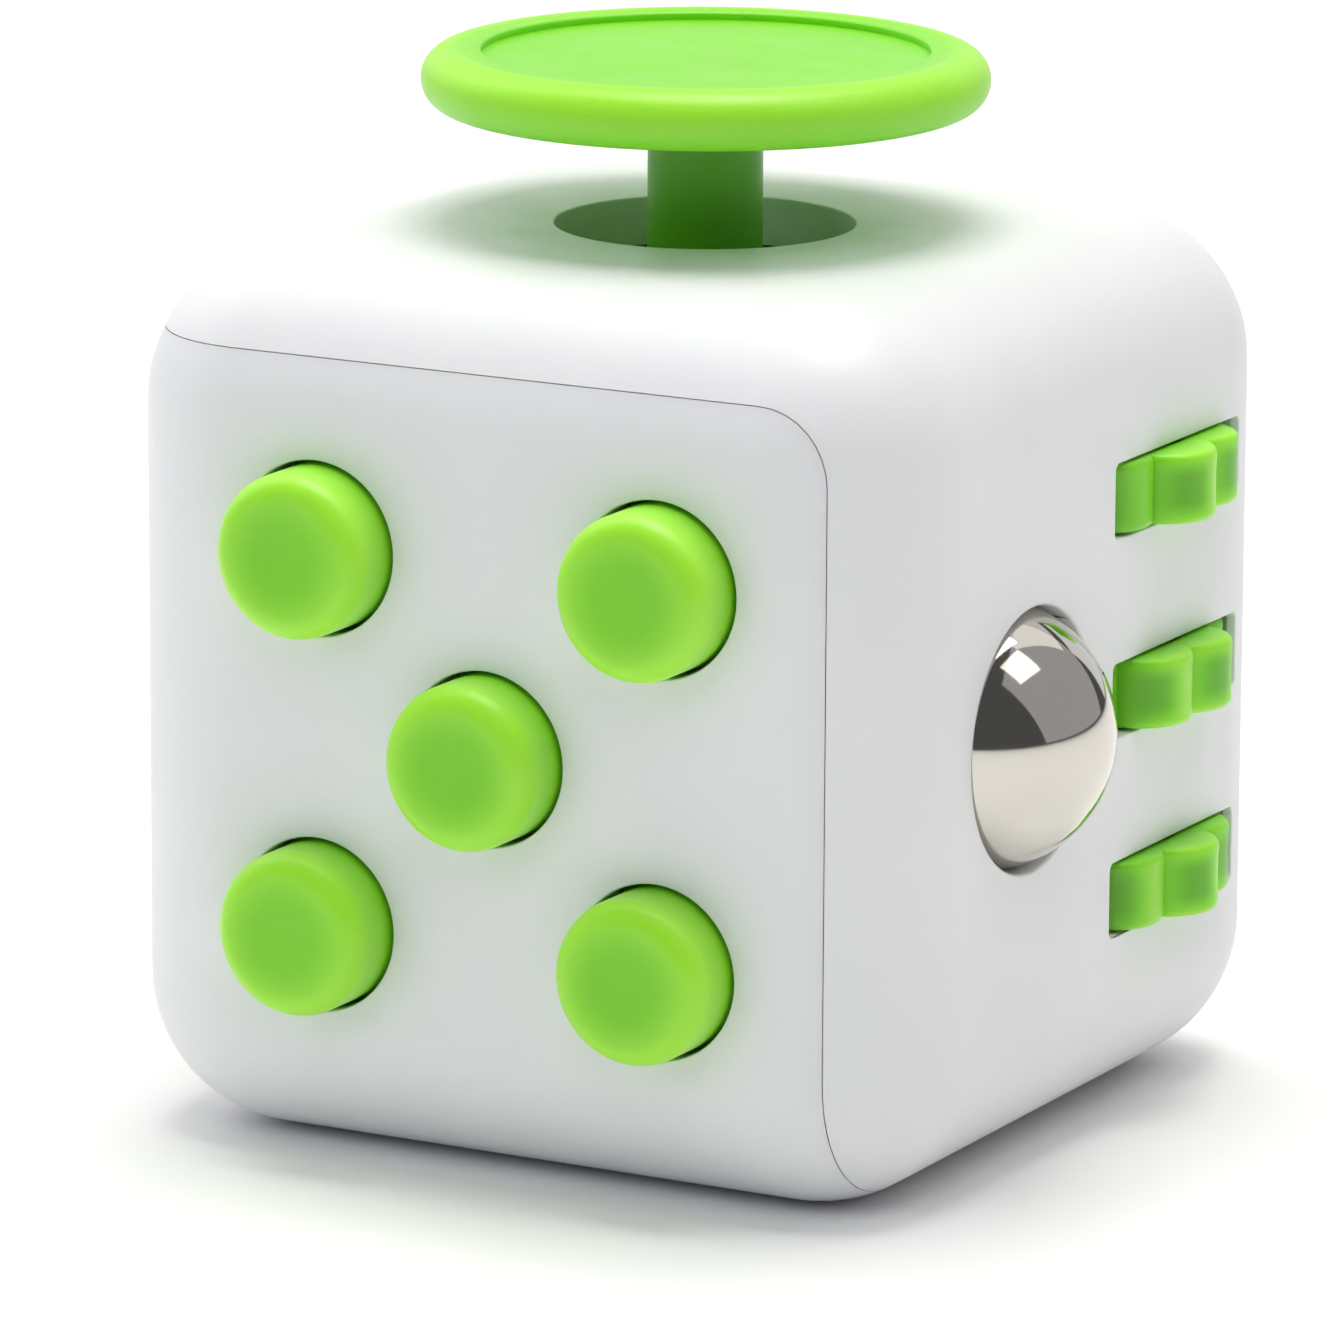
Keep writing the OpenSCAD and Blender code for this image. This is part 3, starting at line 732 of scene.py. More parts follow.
@dataclass
class Casing:
    """The two shells, parted along the edges of the front, left and bottom faces. In millimetres.

    Attributes:
        lap: How far the front shell's three walls come round their edges, up to the seam.
        button_drop: How far the middle button is below the middle of its face.
        gear_room_r: Radius of the round space that each gear turns in.
        ball_lip: Thickness of the lip that keeps the ball in, before its wider pocket.
        lip_length: How far the rear shell's rebate runs behind the front shell's walls.
        groove_w: Width of the parting line.
        groove_d: Depth of the parting line.
        post_r: Radius of the screw posts.
        past: How far a tool reaches past the cube, to cut right through.
    """

    size: float = 33.0
    edge_r: float = 5.8
    wall: float = 1.8
    lap: float = 0.67
    button_pitch: float = 6.96
    button_drop: float = 0.41
    button_hole_r: float = 3.22
    stem_hole_r: float = 5.56
    slot_length: float = 10.55
    slot_height: float = 2.82
    slot_corner: float = 0.3
    slot_y: float = 6.19
    gear_room_r: float = 7.05
    gear_pitch: float = 7.48
    ball_y: float = -5.59
    ball_hole_r: float = 4.87
    ball_pocket_r: float = 5.15
    ball_lip: float = 1.08
    dial_hole_r: float = 8.2
    rocker_w: float = 7.7
    rocker_h: float = 14.8
    dish_r: float = 9.0
    dish_depth: float = 1.3
    lip_length: float = 2.3
    groove_w: float = 0.03
    groove_d: float = 0.045
    rim_round: float = 0.07
    ball_rim_round: float = 0.12
    post_r: float = 1.5
    axle_x: float = 11.4
    axle_socket_r: float = 1.02
    collar_r: float = 6.3
    collar_end: float = -3.9
    dish_backing: float = 1.5
    past: float = 6.0

    @property
    def half(self) -> float:
        """Half the cube's edge length."""
        return self.size / 2

    @property
    def button_z(self) -> float:
        """Height of the middle button."""
        return self.half - self.button_drop

    def button_places(self) -> list[tuple[str, float, float]]:
        """Name each button and give its place on the front face, as x and z."""
        step, mid = self.button_pitch, self.button_z
        return [
            ("upper_left", -step, mid + step),
            ("upper_right", step, mid + step),
            ("centre", 0.0, mid),
            ("lower_left", -step, mid - step),
            ("lower_right", step, mid - step),
        ]

    def gear_heights(self) -> list[tuple[str, float]]:
        """Name each gear and give its height."""
        return [
            ("upper", self.half + self.gear_pitch),
            ("middle", self.half),
            ("lower", self.half - self.gear_pitch),
        ]

    def hole(self, facing: Facing, at: Point, r: float, depth: float, start: float = 1.0) -> Solid:
        """Make the tool for a round hole.

        Args:
            facing: Face of the cube that the hole is in.
            at: Middle of the hole on that face.
            r: Radius of the hole.
            depth: How far it goes in from the face.
            start: How far the tool stands out of the face.

        Returns:
            The tool.
        """
        tool = turned([(0, -depth), (r, -depth), (r, start), (0, start)])
        return tool.placed(facing.matrix(at)).as_object("tool")

    def outside(self) -> Solid:
        """Make the closed cube's outside."""
        h = self.half
        return rounded_block((-h, -h, 0), (h, h, self.size), self.edge_r).as_object("outside")

    def rear_region(self) -> Solid:
        """Make the space the rear shell lies in, which ends one lap inside three faces.

        Returns:
            The space, as a solid.
        """
        h, t, past = self.half, self.lap, self.half + self.past
        low = (-h + t, -h + t, t)
        return rounded_block(low, (past, past, past + h), self.edge_r - t).as_object("region")

    def front_hollow(self) -> Solid:
        """Make the space that the front shell's three walls close off.

        Returns:
            The space, as a solid.
        """
        h, past, inner = self.half, self.half + self.past, self.half - self.wall
        block = rounded_block((-inner, -inner, self.wall), (past, past, past + h), self.edge_r - self.wall)
        return block.as_object("hollow")

    def rear_hollow(self) -> list[Solid]:
        """Make the two blocks of space that the rear shell's walls and lip close off.

        Returns:
            The space inside the walls, and the opening inside the lip.
        """
        past, r = self.half + self.past, self.edge_r - self.wall
        inner, top = self.half - self.wall, self.size - self.wall
        lip, lip_top = inner - self.lip_length, top - self.lip_length
        opening = rounded_block((-past, -past, -self.past), (lip, lip, lip_top), r - self.lip_length)
        return [
            rounded_block((-inner, -inner, self.wall), (inner, inner, top), r).as_object("hollow"),
            opening.as_object("opening"),
        ]

    def seam_points(self) -> list[Vector]:
        """List points along the seam: six rounded corners, one after the other, on the outer surface.

        Returns:
            The points, as one closed loop.
        """
        mid, step = self.half - self.edge_r, self.edge_r - self.lap
        side = mid + step
        reach = math.sqrt(self.edge_r**2 - step**2)
        end, low, high = mid + reach, self.edge_r, self.size - self.edge_r
        top = high + reach
        loop = [(a, -side, b) for a, b in arc(mid, high, reach, 90, 0, 8)]
        loop += [(end, a, b) for a, b in arc(-mid, low, step, 180, 270, 12)]
        loop += [(a, b, self.lap) for a, b in arc(mid, mid, reach, 0, 90, 8)]
        loop += [(a, end, b) for a, b in arc(-mid, low, step, 270, 180, 12)]
        loop += [(-side, a, b) for a, b in arc(mid, high, reach, 0, 90, 8)]
        loop += [(a, b, top) for a, b in arc(-mid, -mid, step, 180, 270, 12)]
        return [Vector(point) for point in loop]

    def groove(self) -> Solid:
        """Make the narrow ring-shaped tool that leaves the shadow gap along the seam.

        Returns:
            The tool, an oval tube that follows the seam.
        """
        points, sides = self.seam_points(), 12
        core_low = Vector((self.edge_r - self.half, self.edge_r - self.half, self.edge_r))
        core_high = Vector((self.half - self.edge_r, self.half - self.edge_r, self.size - self.edge_r))
        section = arc(0, 0, 1.0, 0, 360 * (sides - 1) / sides, sides - 1)
        rings: list[list[Point]] = []
        for i, point in enumerate(points):
            before, after = points[i - 1], points[(i + 1) % len(points)]
            along = ((point - before).normalized() + (after - point).normalized()).normalized()
            core = Vector(min(max(p, low), high) for p, low, high in zip(point, core_low, core_high))
            out = (point - core).normalized()
            across = along.cross(out)
            rings.append(
                [tuple(point + out * a * self.groove_d + across * b * self.groove_w / 2) for a, b in section]
            )
        return stitched(rings).as_object("groove")

    def rim_width(self, point: Vector) -> float:
        """Give the rounding of a sharp edge: only the rims of the holes are rounded.

        Args:
            point: The edge's middle point.

        Returns:
            The rounding in millimetres.
        """
        on_outside, by_seam, by_face = 0.03, 0.3, 0.1
        if abs(self.depth_under(point, 0.0, True)) > on_outside:
            return 0.0
        if abs(self.depth_under(point, self.lap, False)) < by_seam:
            return 0.0
        by_ball = point.x > self.half - by_face and point.y < 0
        return self.ball_rim_round if by_ball else self.rim_round

    def depth_under(self, point: Vector, inset: float, closed: bool) -> float:
        """Measure how far a point lies inside the cube's rounded outside.

        Args:
            point: The point.
            inset: How far that outside is moved in first.
            closed: Whether all six faces count, or only the front, left and bottom ones.

        Returns:
            The depth in millimetres, below 0 outside.
        """
        h, radius = self.half, self.edge_r - inset
        gaps = []
        for value, low, high in zip(point, (-h, -h, 0.0), (h, h, self.size)):
            below = low + self.edge_r - value
            above = value - (high - self.edge_r) if closed else -1.0
            gaps.append(max(below, above, 0.0))
        return radius - math.sqrt(sum(gap * gap for gap in gaps))

    def post(
        self, facing: Facing, at: Point, r: float, length: float, bore_r: float = 0.55
    ) -> Solid:
        """Make a post or boss that stands inside, with its pilot hole.

        Args:
            facing: Face of the cube that it stands behind.
            at: Middle of its free end.
            r: Radius of the post.
            length: How far it runs outwards from there.
            bore_r: Radius of the hole in its free end.

        Returns:
            The post.
        """
        deepest, end_wall = 4.5, 0.4
        depth = min(deepest, length - end_wall)
        profile = [(0.0, depth), (bore_r, depth), (bore_r, 0.0), (r, 0.0), (r, length), (0.0, length)]
        return turned(profile, 40).placed(facing.matrix(at)).as_object("post")

    def build_front(self, shop: Workshop) -> None:
        """Make the front, left and bottom walls with the button holes, dial hole and thumb dish.

        Args:
            shop: Where the shell is finished.
        """
        h = self.half
        shell = self.outside()
        shell.name = "front_casing"
        rest = self.rear_region()
        carve(rest, self.rear_hollow())
        carve(shell, [self.front_hollow(), rest])
        board_posts = [(0.0, 6.0), (0.0, 26.2), (-10.6, self.button_z), (6.6, self.button_z)]
        board_y, board_post, dial_x, dial_reach, dial_post = -10.6, 4.6, -12.2, 10.7, 3.0
        posts = [self.post(Facing.FRONT, (x, board_y, z), self.post_r, board_post) for x, z in board_posts]
        for side in (-1, 1):
            at = (dial_x, 0, h + side * dial_reach)
            posts.append(self.post(Facing.LEFT, at, self.post_r, dial_post))
        carve(shell, [self.backing(), *posts], "UNION")
        tools = [
            self.hole(Facing.FRONT, (x, -h, z), self.button_hole_r, self.wall + 1)
            for _, x, z in self.button_places()
        ]
        tools.append(self.hole(Facing.LEFT, (-h, 0, h), self.dial_hole_r, self.wall + 1))
        tools += [self.dish(0.0), self.groove()]
        carve(shell, tools)
        soften(shell, self.rim_width)
        shop.piece(shell, "cube", Slot.WHITE_ABS, "front_shell")

    def dish(self, outer: float) -> Solid:
        """Make the cap of the large sphere that forms the thumb dish.

        Args:
            outer: How much the sphere is grown.

        Returns:
            The cap, closed well below the cube's floor.
        """
        r = (self.dish_r**2 + self.dish_depth**2) / (2 * self.dish_depth)
        cap = math.degrees(math.asin(min(1.0, (self.dish_r + self.past) / r)))
        rise = arc(0, self.dish_depth - r, r + outer, 90 - cap, 90, 40)
        below = -3.0
        profile = [(0.0, below), (rise[0][0], below)] + rise
        profile[-1] = (0.0, profile[-1][1])
        return turned(profile, 128).as_object("dish")

    def backing(self) -> Solid:
        """Make the low bulge that keeps the floor's thickness above the dish.

        Returns:
            The bulge, sunk a little into the floor.
        """
        bulge = self.dish(self.dish_backing)
        slab_w, slab_r, sunk, above = 26, 3, 0.4, 3
        outline = round_rectangle(slab_w, slab_w, slab_r)
        slab = prism(outline, self.wall - sunk, self.wall + above).as_object("slab")
        carve(bulge, [slab], "INTERSECT")
        return bulge

    def collar(self) -> Solid:
        """Make the ring round the ball, open on the side where the middle gear turns.

        Returns:
            The ring, sunk a little into the wall.
        """
        h, sunk = self.half, 0.4
        inside, outside, end, root = self.ball_pocket_r, self.collar_r, self.collar_end, sunk - self.wall
        ring = turned([(inside, end), (outside, end), (outside, root), (inside, root), (inside, end)])
        collar = ring.placed(Facing.RIGHT.matrix((h, self.ball_y, h))).as_object("collar")
        gap_w, gap_h, gap_r, gap_y, gap_end = 16, 6, 0.2, 1.4, -5.0
        gap = prism(round_rectangle(gap_w, gap_h, gap_r), gap_end, 0.0)
        carve(collar, [gap.placed(Facing.RIGHT.matrix((h, gap_y, h))).as_object("gap")])
        return collar

    def rear_posts(self) -> list[Solid]:
        """Make the posts for the joystick, ball and rocker screws and the axle's upper socket.

        Returns:
            The posts.
        """
        h, r = self.half, self.post_r
        stick_reach, stick_z, stick_post = 7.3, 30.0, 1.7
        ball_x, ball_reach, ball_post = 7.7, 7.4, 7.5
        rocker_y, rocker_reach, rocker_post = 9.6, 9.2, 5.6
        boss_z, boss_r, boss = 29.6, 2.2, 2.1
        corners = [(x, y, stick_z) for x in (-stick_reach, stick_reach) for y in (-stick_reach, stick_reach)]
        ball = [(ball_x, self.ball_y, h + side * ball_reach) for side in (-1, 1)]
        rocker = [(0, rocker_y, h + side * rocker_reach) for side in (-1, 1)]
        return [
            *(self.post(Facing.TOP, at, r, stick_post) for at in corners),
            *(self.post(Facing.RIGHT, at, r, ball_post) for at in ball),
            *(self.post(Facing.BACK, at, r, rocker_post) for at in rocker),
            self.post(Facing.TOP, (self.axle_x, self.slot_y, boss_z), boss_r, boss, self.axle_socket_r),
        ]

    def gear_openings(self) -> list[Solid]:
        """Make the tools for the three slots, then for the round rooms behind them.

        Returns:
            The tools.
        """
        outline = round_rectangle(self.slot_height, self.slot_length, self.slot_corner)
        slot = prism(outline, -self.wall - 1, 1.0)
        low, high = -self.slot_height / 2, self.slot_height / 2
        room = turned([(0, low), (self.gear_room_r, low), (self.gear_room_r, high), (0, high)])
        heights = [z for _, z in self.gear_heights()]
        slots = [Facing.RIGHT.matrix((self.half, self.slot_y, z)) for z in heights]
        rooms = [Matrix.Translation((self.axle_x, self.slot_y, z)) for z in heights]
        return [
            *(slot.placed(at).as_object("slot") for at in slots),
            *(room.placed(at).as_object("room") for at in rooms),
        ]

    def build_rear(self, shop: Workshop) -> None:
        """Make the top, right and back walls with their openings.

        Args:
            shop: Where the shell is finished.
        """
        h, through, window_r = self.half, self.wall + 1, 0.8
        shell = self.outside()
        shell.name = "rear_casing"
        carve(shell, [self.rear_region()], "INTERSECT")
        carve(shell, self.rear_hollow())
        carve(shell, [*self.rear_posts(), self.collar()], "UNION")
        by_ball = (h, self.ball_y, h)
        window = prism(round_rectangle(self.rocker_w, self.rocker_h, window_r), -through, 1.0)
        tools = [
            self.hole(Facing.TOP, (0, 0, self.size), self.stem_hole_r, through),
            self.hole(Facing.RIGHT, by_ball, self.ball_hole_r, through),
            self.hole(Facing.RIGHT, by_ball, self.ball_pocket_r, through, -self.ball_lip),
            window.placed(Facing.BACK.matrix((0, h, h))).as_object("window"),
            *self.gear_openings(),
            self.groove(),
        ]
        carve(shell, tools)
        soften(shell, self.rim_width)
        shop.piece(shell, "cube", Slot.WHITE_ABS, "rear_shell")

    def build(self, shop: Workshop) -> None:
        """Make both shells."""
        self.build_front(shop)
        self.build_rear(shop)


@dataclass
class ButtonFace:
    """The five push buttons: softly crowned caps with a shallow finger dish. In millimetres."""

    casing: Casing
    cap_r: float = 3.05
    out: float = 2.3
    edge: float = 0.9
    dish: float = 0.06
    flange_r: float = 3.9
    flange_thick: float = 1.0
    flange_gap: float = 0.1
    stem_r: float = 1.5
    stem_end: float = -4.85

    def profile(self) -> Profile:
        """List one cap's side view.

        Returns:
            Points from the middle of its face to the end of its stem.
        """
        flat_r = self.cap_r - self.edge
        rows = 10
        face = [
            (flat_r * i / rows, self.out - self.dish * (1 - (i / rows) ** 2) ** 2) for i in range(rows)
        ]
        rim = arc(flat_r, self.out - self.edge, self.edge, 90, 0, 14)
        under = -self.casing.wall - self.flange_gap
        back = under - self.flange_thick
        lower = [
            (self.cap_r, under),
            (self.flange_r, under),
            (self.flange_r, back),
            (self.stem_r, back),
            (self.stem_r, self.stem_end),
            (0.0, self.stem_end),
        ]
        return face + rim + lower

    def build(self, shop: Workshop) -> None:
        """Make the five buttons, each on its own body.

        Args:
            shop: Where they are finished.
        """
        cap = turned(self.profile(), 112)
        for name, x, z in self.casing.button_places():
            node = f"button_{name}"
            at = Facing.FRONT.matrix((x, -self.casing.half, z))

            def painted_light_share(point: Vector, x: float = x, z: float = z) -> float:
                """Give the painted light and shade of a cap at a point.

                Args:
                    point: The point.
                    x: The cap's place across the face.
                    z: The cap's height.

                Returns:
                    The share: a painted highlight at the rim, painted shade along the side.
                """
                # Painted highlight towards the rim and painted shade along the cap's side.
                away = ramp(math.hypot(point.x - x, point.z - z) / self.cap_r, 0.35, 1.0)
                painted_side_shade = ramp(point.y + self.casing.half + self.out, 0.5, self.out)
                return (0.5 + 0.5 * away) * (1 - 0.75 * painted_side_shade)

            shop.piece(cap.placed(at).as_object(f"cap_{name}"), node, Slot.GREEN_ABS, node, painted_light_share)


@dataclass
class Joystick:
    """The disc on its stem: a fat rounded rim round a shallow flat recess. In millimetres."""

    disc_r: float = 10.46
    rim: float = 1.12
    disc_z: float = 38.37
    recess_r: float = 8.15
    recess: float = 0.33
    stem_r: float = 2.13
    stem_low: float = 24.4

    def profile(self) -> Profile:
        """List the side view.

        Returns:
            Points from the foot of the stem round to the middle of the disc.
        """
        ring = self.disc_r - self.rim
        low, top = self.disc_z - self.rim, self.disc_z + self.rim
        fillet, lip_r = 0.45, 0.1
        foot = [(0.0, self.stem_low), (self.stem_r, self.stem_low)]
        root = arc(self.stem_r + fillet, low - fillet, fillet, 180, 90, 6)
        rim = arc(ring, self.disc_z, self.rim, -90, 112, 30)
        floor = top - self.recess
        edge_z = rim[-1][1]
        step = arc(self.recess_r + 2 * lip_r, edge_z - lip_r / 2, lip_r, 90, 170, 4)
        step += [(self.recess_r + 0.12, floor + 0.03), (self.recess_r + 0.04, floor)]
        middle = [(self.recess_r * f, floor) for f in (0.8, 0.5, 0.2)] + [(0.0, floor)]
        return foot + root + rim + step + middle

    def build(self, shop: Workshop) -> None:
        """Make the joystick on its body."""
        stick = turned(self.profile(), 144).as_object("joystick_disc")
        shop.piece(stick, "joystick", Slot.GREEN_ABS, "joystick", self.painted_light_share)

    def painted_light_share(self, point: Vector) -> float:
        """Give the painted light and shade at a point.

        Args:
            point: The point.

        Returns:
            The share: a painted highlight along the rim's outer, upper edge, and painted shade in the stem.
        """
        painted_stem_shade, low, high = 0.15, self.disc_z - 1.17, self.disc_z + 1.03
        # Painted shade in the stem.
        if point.z < self.disc_z - self.rim:
            return painted_stem_shade
        # Painted highlight on the rim's outer, upper edge.
        out = ramp(math.hypot(point.x, point.y), self.recess_r, self.disc_r)
        return 0.5 + 0.5 * out * ramp(point.z, low, high)


@dataclass
class GearStack:
    """Three toothed rollers with broad, wave-like teeth. In millimetres."""

    casing: Casing
    teeth: int = 10
    tip_r: float = 6.8
    valley_r: float = 5.9
    thick: float = 2.62
    edge: float = 0.28
    dish: float = 0.05
    bore_r: float = 1.05
    samples: int = 24
    phases: tuple[float, float, float] = (-7.75, -21.75, 0.25)

    def tooth(self, u: float) -> float:
        """Return the radius of a tooth at u, which runs from -1 to 1 across it."""
        return self.valley_r + (self.tip_r - self.valley_r) * (1 - u * u)

    def levels(self) -> list[tuple[float, float, float]]:
        """List heights up the side.

        Returns:
            Each height with its edge inset and its share of the dish.
        """
        half = self.thick / 2
        flat = half - self.edge
        low = [(y, self.edge - x, 0.0) for x, y in arc(0, -flat, self.edge, -90, 0, 5)]
        rows = 8
        side = [(flat * (2 * i / rows - 1), 0.0, 1 - (2 * i / rows - 1) ** 2) for i in range(1, rows)]
        high = [(-y, inset, share) for y, inset, share in reversed(low)]
        return low + side + high

    def form(self, phase: float) -> Form:
        """Make one gear about the origin.

        Args:
            phase: Angle of the first tooth's middle, in degrees.

        Returns:
            The gear.
        """
        half = self.thick / 2
        places = []
        for tooth in range(self.teeth):
            for k in range(self.samples):
                u = math.sin(math.radians(-90 + 180 * k / self.samples))
                angle = math.radians(phase + (tooth + u / 2) * 360 / self.teeth)
                places.append((angle, u))
        hub_r, web_r, web, slope = 2.6, 4.9, 0.35, 0.1
        rings: list[list[Point]] = []
        inner_low = [(self.bore_r, -half), (hub_r, -half), (hub_r + slope, -half + web)]
        inner_low += [(web_r, -half + web), (web_r + slope, -half)]
        for r, z in inner_low:
            rings.append([(r * math.cos(a), r * math.sin(a), z) for a, _ in places])
        for z, inset, share in self.levels():
            ring = []
            for a, u in places:
                r = self.tooth(u) - inset - self.dish * share * (1 - u * u) ** 2
                ring.append((r * math.cos(a), r * math.sin(a), z))
            rings.append(ring)
        for r, z in reversed(inner_low):
            rings.append([(r * math.cos(a), r * math.sin(a), -z) for a, _ in places])
        return stitched(rings)

    def build(self, shop: Workshop) -> None:
        """Make the three gears, each on its own body.

        Args:
            shop: Where they are finished.
        """
        for (name, z), phase in zip(self.casing.gear_heights(), self.phases):
            at = Matrix.Translation((self.casing.axle_x, self.casing.slot_y, z))
            gear = self.form(phase).placed(at).as_object(f"roller_{name}")

            def painted_light_share(point: Vector, z: float = z, phase: float = phase) -> float:
                """Give the painted light and shade of a gear at a point.

                Args:
                    point: The point.
                    z: Height of the gear's middle.
                    phase: Angle of its first tooth.

                Returns:
                    The share: a painted highlight near a tooth's edges, painted shade deep in the slot.
                """
                angle = math.degrees(math.atan2(point.y - self.casing.slot_y, point.x - self.casing.axle_x))
                across = abs(((angle - phase) * self.teeth / 360 + 0.7) % 1.0 - 0.5) * 2
                along = abs(point.z - z) / (self.thick / 2)
                # Painted highlight near the edges of each tooth's face.
                edge = 1 - (1 - ramp(across, 0.1, 0.75)) * (1 - ramp(along, 0.3, 1.0))
                # Painted shade deeper in the slot.
                sunk = ramp(self.casing.half + 1.2 - point.x, 0.0, 1.6)
                return (0.12 + 0.75 * edge) * (1 - 0.7 * sunk)

            shop.piece(gear, f"gear_{name}", Slot.GREEN_ABS, f"gear_{name}", painted_light_share)


@dataclass
class PressBall:
    """The polished steel ball. In millimetres."""

    casing: Casing
    r: float = 5.0
    out: float = 2.8

    def build(self, shop: Workshop) -> None:
        """Make the ball from an evenly divided cube, so that its mesh has no poles."""
        centre = (self.casing.half + self.out - self.r, self.casing.ball_y, self.casing.half)
        ball = rounded_block((-self.r,) * 3, (self.r,) * 3, self.r, 18)
        obj = ball.placed(Matrix.Translation(centre)).as_object("ball_polished")
        shop.piece(obj, "ball", Slot.POLISHED_STEEL, "steel_ball")


@dataclass
class Dial:
    """The click dial: a grooved disc with an off-centre nub. In millimetres."""

    casing: Casing
    r: float = 7.9
    out: float = 1.1
    nub_out: float = 2.8
    nub_r: float = 1.3
    nub_offset: float = 5.6
    flange_r: float = 8.9
    flange_gap: float = 0.1
    flange_thick: float = 1.0
    wheel_r: float = 4.3
    wheel_end: float = -4.0
    hub_r: float = 2.0
    hub_end: float = -7.1
    groove_start: float = -5.1
    groove_end: float = -5.7
    groove_r: float = 1.5

    def profile(self) -> Profile:
        """List the dial's side view.

        Returns:
            Points from the middle of its face to the end of its hub.
        """
        edge, top = 0.4, self.out
        groove_r, groove_w, groove_d = 6.9, 0.35, 0.25
        face = [(0.0, top - 0.3), (2.2, top - 0.27), (4.0, top - 0.14), (5.4, top)]
        groove = [
            (groove_r - groove_w, top),
            (groove_r - groove_w / 2, top - groove_d),
            (groove_r + groove_w / 2, top - groove_d),
            (groove_r + groove_w, top),
        ]
        rim = arc(self.r - edge, top - edge, edge, 90, 0, 8)
        under = -self.casing.wall - self.flange_gap
        back = under - self.flange_thick
        lower = [(self.r, under), (self.flange_r, under), (self.flange_r, back), (self.wheel_r, back)]
        lower += [(self.wheel_r, self.wheel_end), (self.hub_r, self.wheel_end)]
        lower += [(self.hub_r, self.groove_start), (self.groove_r, self.groove_start)]
        lower += [(self.groove_r, self.groove_end)]
        lower += [(self.hub_r, self.groove_end), (self.hub_r, self.hub_end), (0.0, self.hub_end)]
        return face + groove + rim + lower

    def nub(self) -> Form:
        """Make the finger nub with a domed end."""
        edge = 0.5
        dome = arc(self.nub_r - edge, self.nub_out - edge, edge, 0, 90, 8)
        return turned([(0.0, -edge), (self.nub_r, -edge)] + dome + [(0.0, self.nub_out)], 64)

    def build(self, shop: Workshop) -> None:
        """Make the dial, with its nub low so that it hangs at rest.

        Args:
            shop: Where it is finished.
        """
        h = self.casing.half
        disc = turned(self.profile(), 128).placed(Facing.LEFT.matrix((-h, 0, h))).as_object("dial_disc")
        nub = self.nub().placed(Facing.LEFT.matrix((-h, 0, h - self.nub_offset))).as_object("nub")
        carve(disc, [nub], "UNION")
        shop.piece(disc, "dial", Slot.GREEN_ABS, "dial")


@dataclass
class Rocker:
    """The rocker switch, tipped to its rest stop. In millimetres."""

    casing: Casing
    width: float = 7.2
    reach: float = 7.3
    tilt: float = 10.0
    out: float = 2.3
    pin_y: float = 13.0
    middle: float = 4.0
    pin_r: float = 0.8
    boss_r: float = 1.5
    boss_end: float = 2.7
    edge: float = 0.35

    def outline(self) -> Profile:
        """List the rocker's side view about its pin.

        Returns:
            Points, each first outwards and then upwards.
        """
        raised = self.casing.half + self.out - self.pin_y
        corner = math.degrees(math.acos(raised / self.reach)) + self.tilt
        half_side = arc(0, 0, self.reach, corner, corner + 38, 8)
        lower = [(x, -y) for x, y in reversed(half_side)]
        return [(-1.6, -5.4)] + lower + [(self.middle, 0.0)] + half_side + [(-1.6, 5.4)]

    def build(self, shop: Workshop) -> None:
        """Make the rocker with its grip grooves, boss and pin hole.

        Args:
            shop: Where it is finished.
        """
        body = prism(self.outline(), -self.width / 2, self.width / 2).as_object("rocker_paddle")
        for side in (-1, 1):
            for row in range(3):
                up = side * (3.2 + 0.75 * row)
                slope = self.middle + (5.2 - self.middle) * abs(up) / 5.13
                notch = turned([(0, -2.4), (0.2, -2.4), (0.2, 2.4), (0, 2.4)], 24)
                tool = notch.placed(Matrix.Translation((slope + 0.05, up, 0))).as_object("notch")
                carve(body, [tool])
        boss = turned([(0, 0), (self.boss_r, 0), (self.boss_r, self.boss_end), (0, self.boss_end)], 48)
        turn = Matrix.Rotation(-math.pi / 2, 4, "Y")
        carve(body, [boss.placed(turn).as_object("boss")], "UNION")
        pin = turned([(0, -5), (self.pin_r, -5), (self.pin_r, 5), (0, 5)], 48).as_object("pin_hole")
        bore = turned([(0, 1.05), (0.85, 1.05), (0.85, 5), (0, 5)], 32).placed(turn).as_object("bore")
        carve(body, [pin, bore])
        soften(body, lambda p: self.edge if p.x > 2.2 and abs(p.z) > self.width / 2 - 0.01 else 0.0, 4)
        tilt = math.radians(self.tilt)
        axes = Matrix(((0, 0, 1, 0), (1, 0, 0, 0), (0, 1, 0, 0), (0, 0, 0, 1)))
        place = Matrix.Translation((0, self.pin_y, self.casing.half)) @ Matrix.Rotation(tilt, 4, "X") @ axes
        body.data.transform(place)
        shop.piece(body, "rocker", Slot.GREEN_ABS, "rocker")


@dataclass
class InnerWorks:
    """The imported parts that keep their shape: brackets, springs, pins, domes and screws."""

    record: dict

    def dress(self, palette: Palette) -> None:
        """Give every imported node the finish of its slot.

        Args:
            palette: Source of the materials.
        """
        slots = {part["node"]: Slot(part["material_slot"]) for part in self.record["subparts"]}
        for name, node in frame["nodes"].items():
            node.data.materials.clear()
            node.data.materials.append(palette.material(slots[name]))
            LOG.info("%s: packed shape, %s", name, slots[name].value)


# ---------------------------------------------------------------- studio


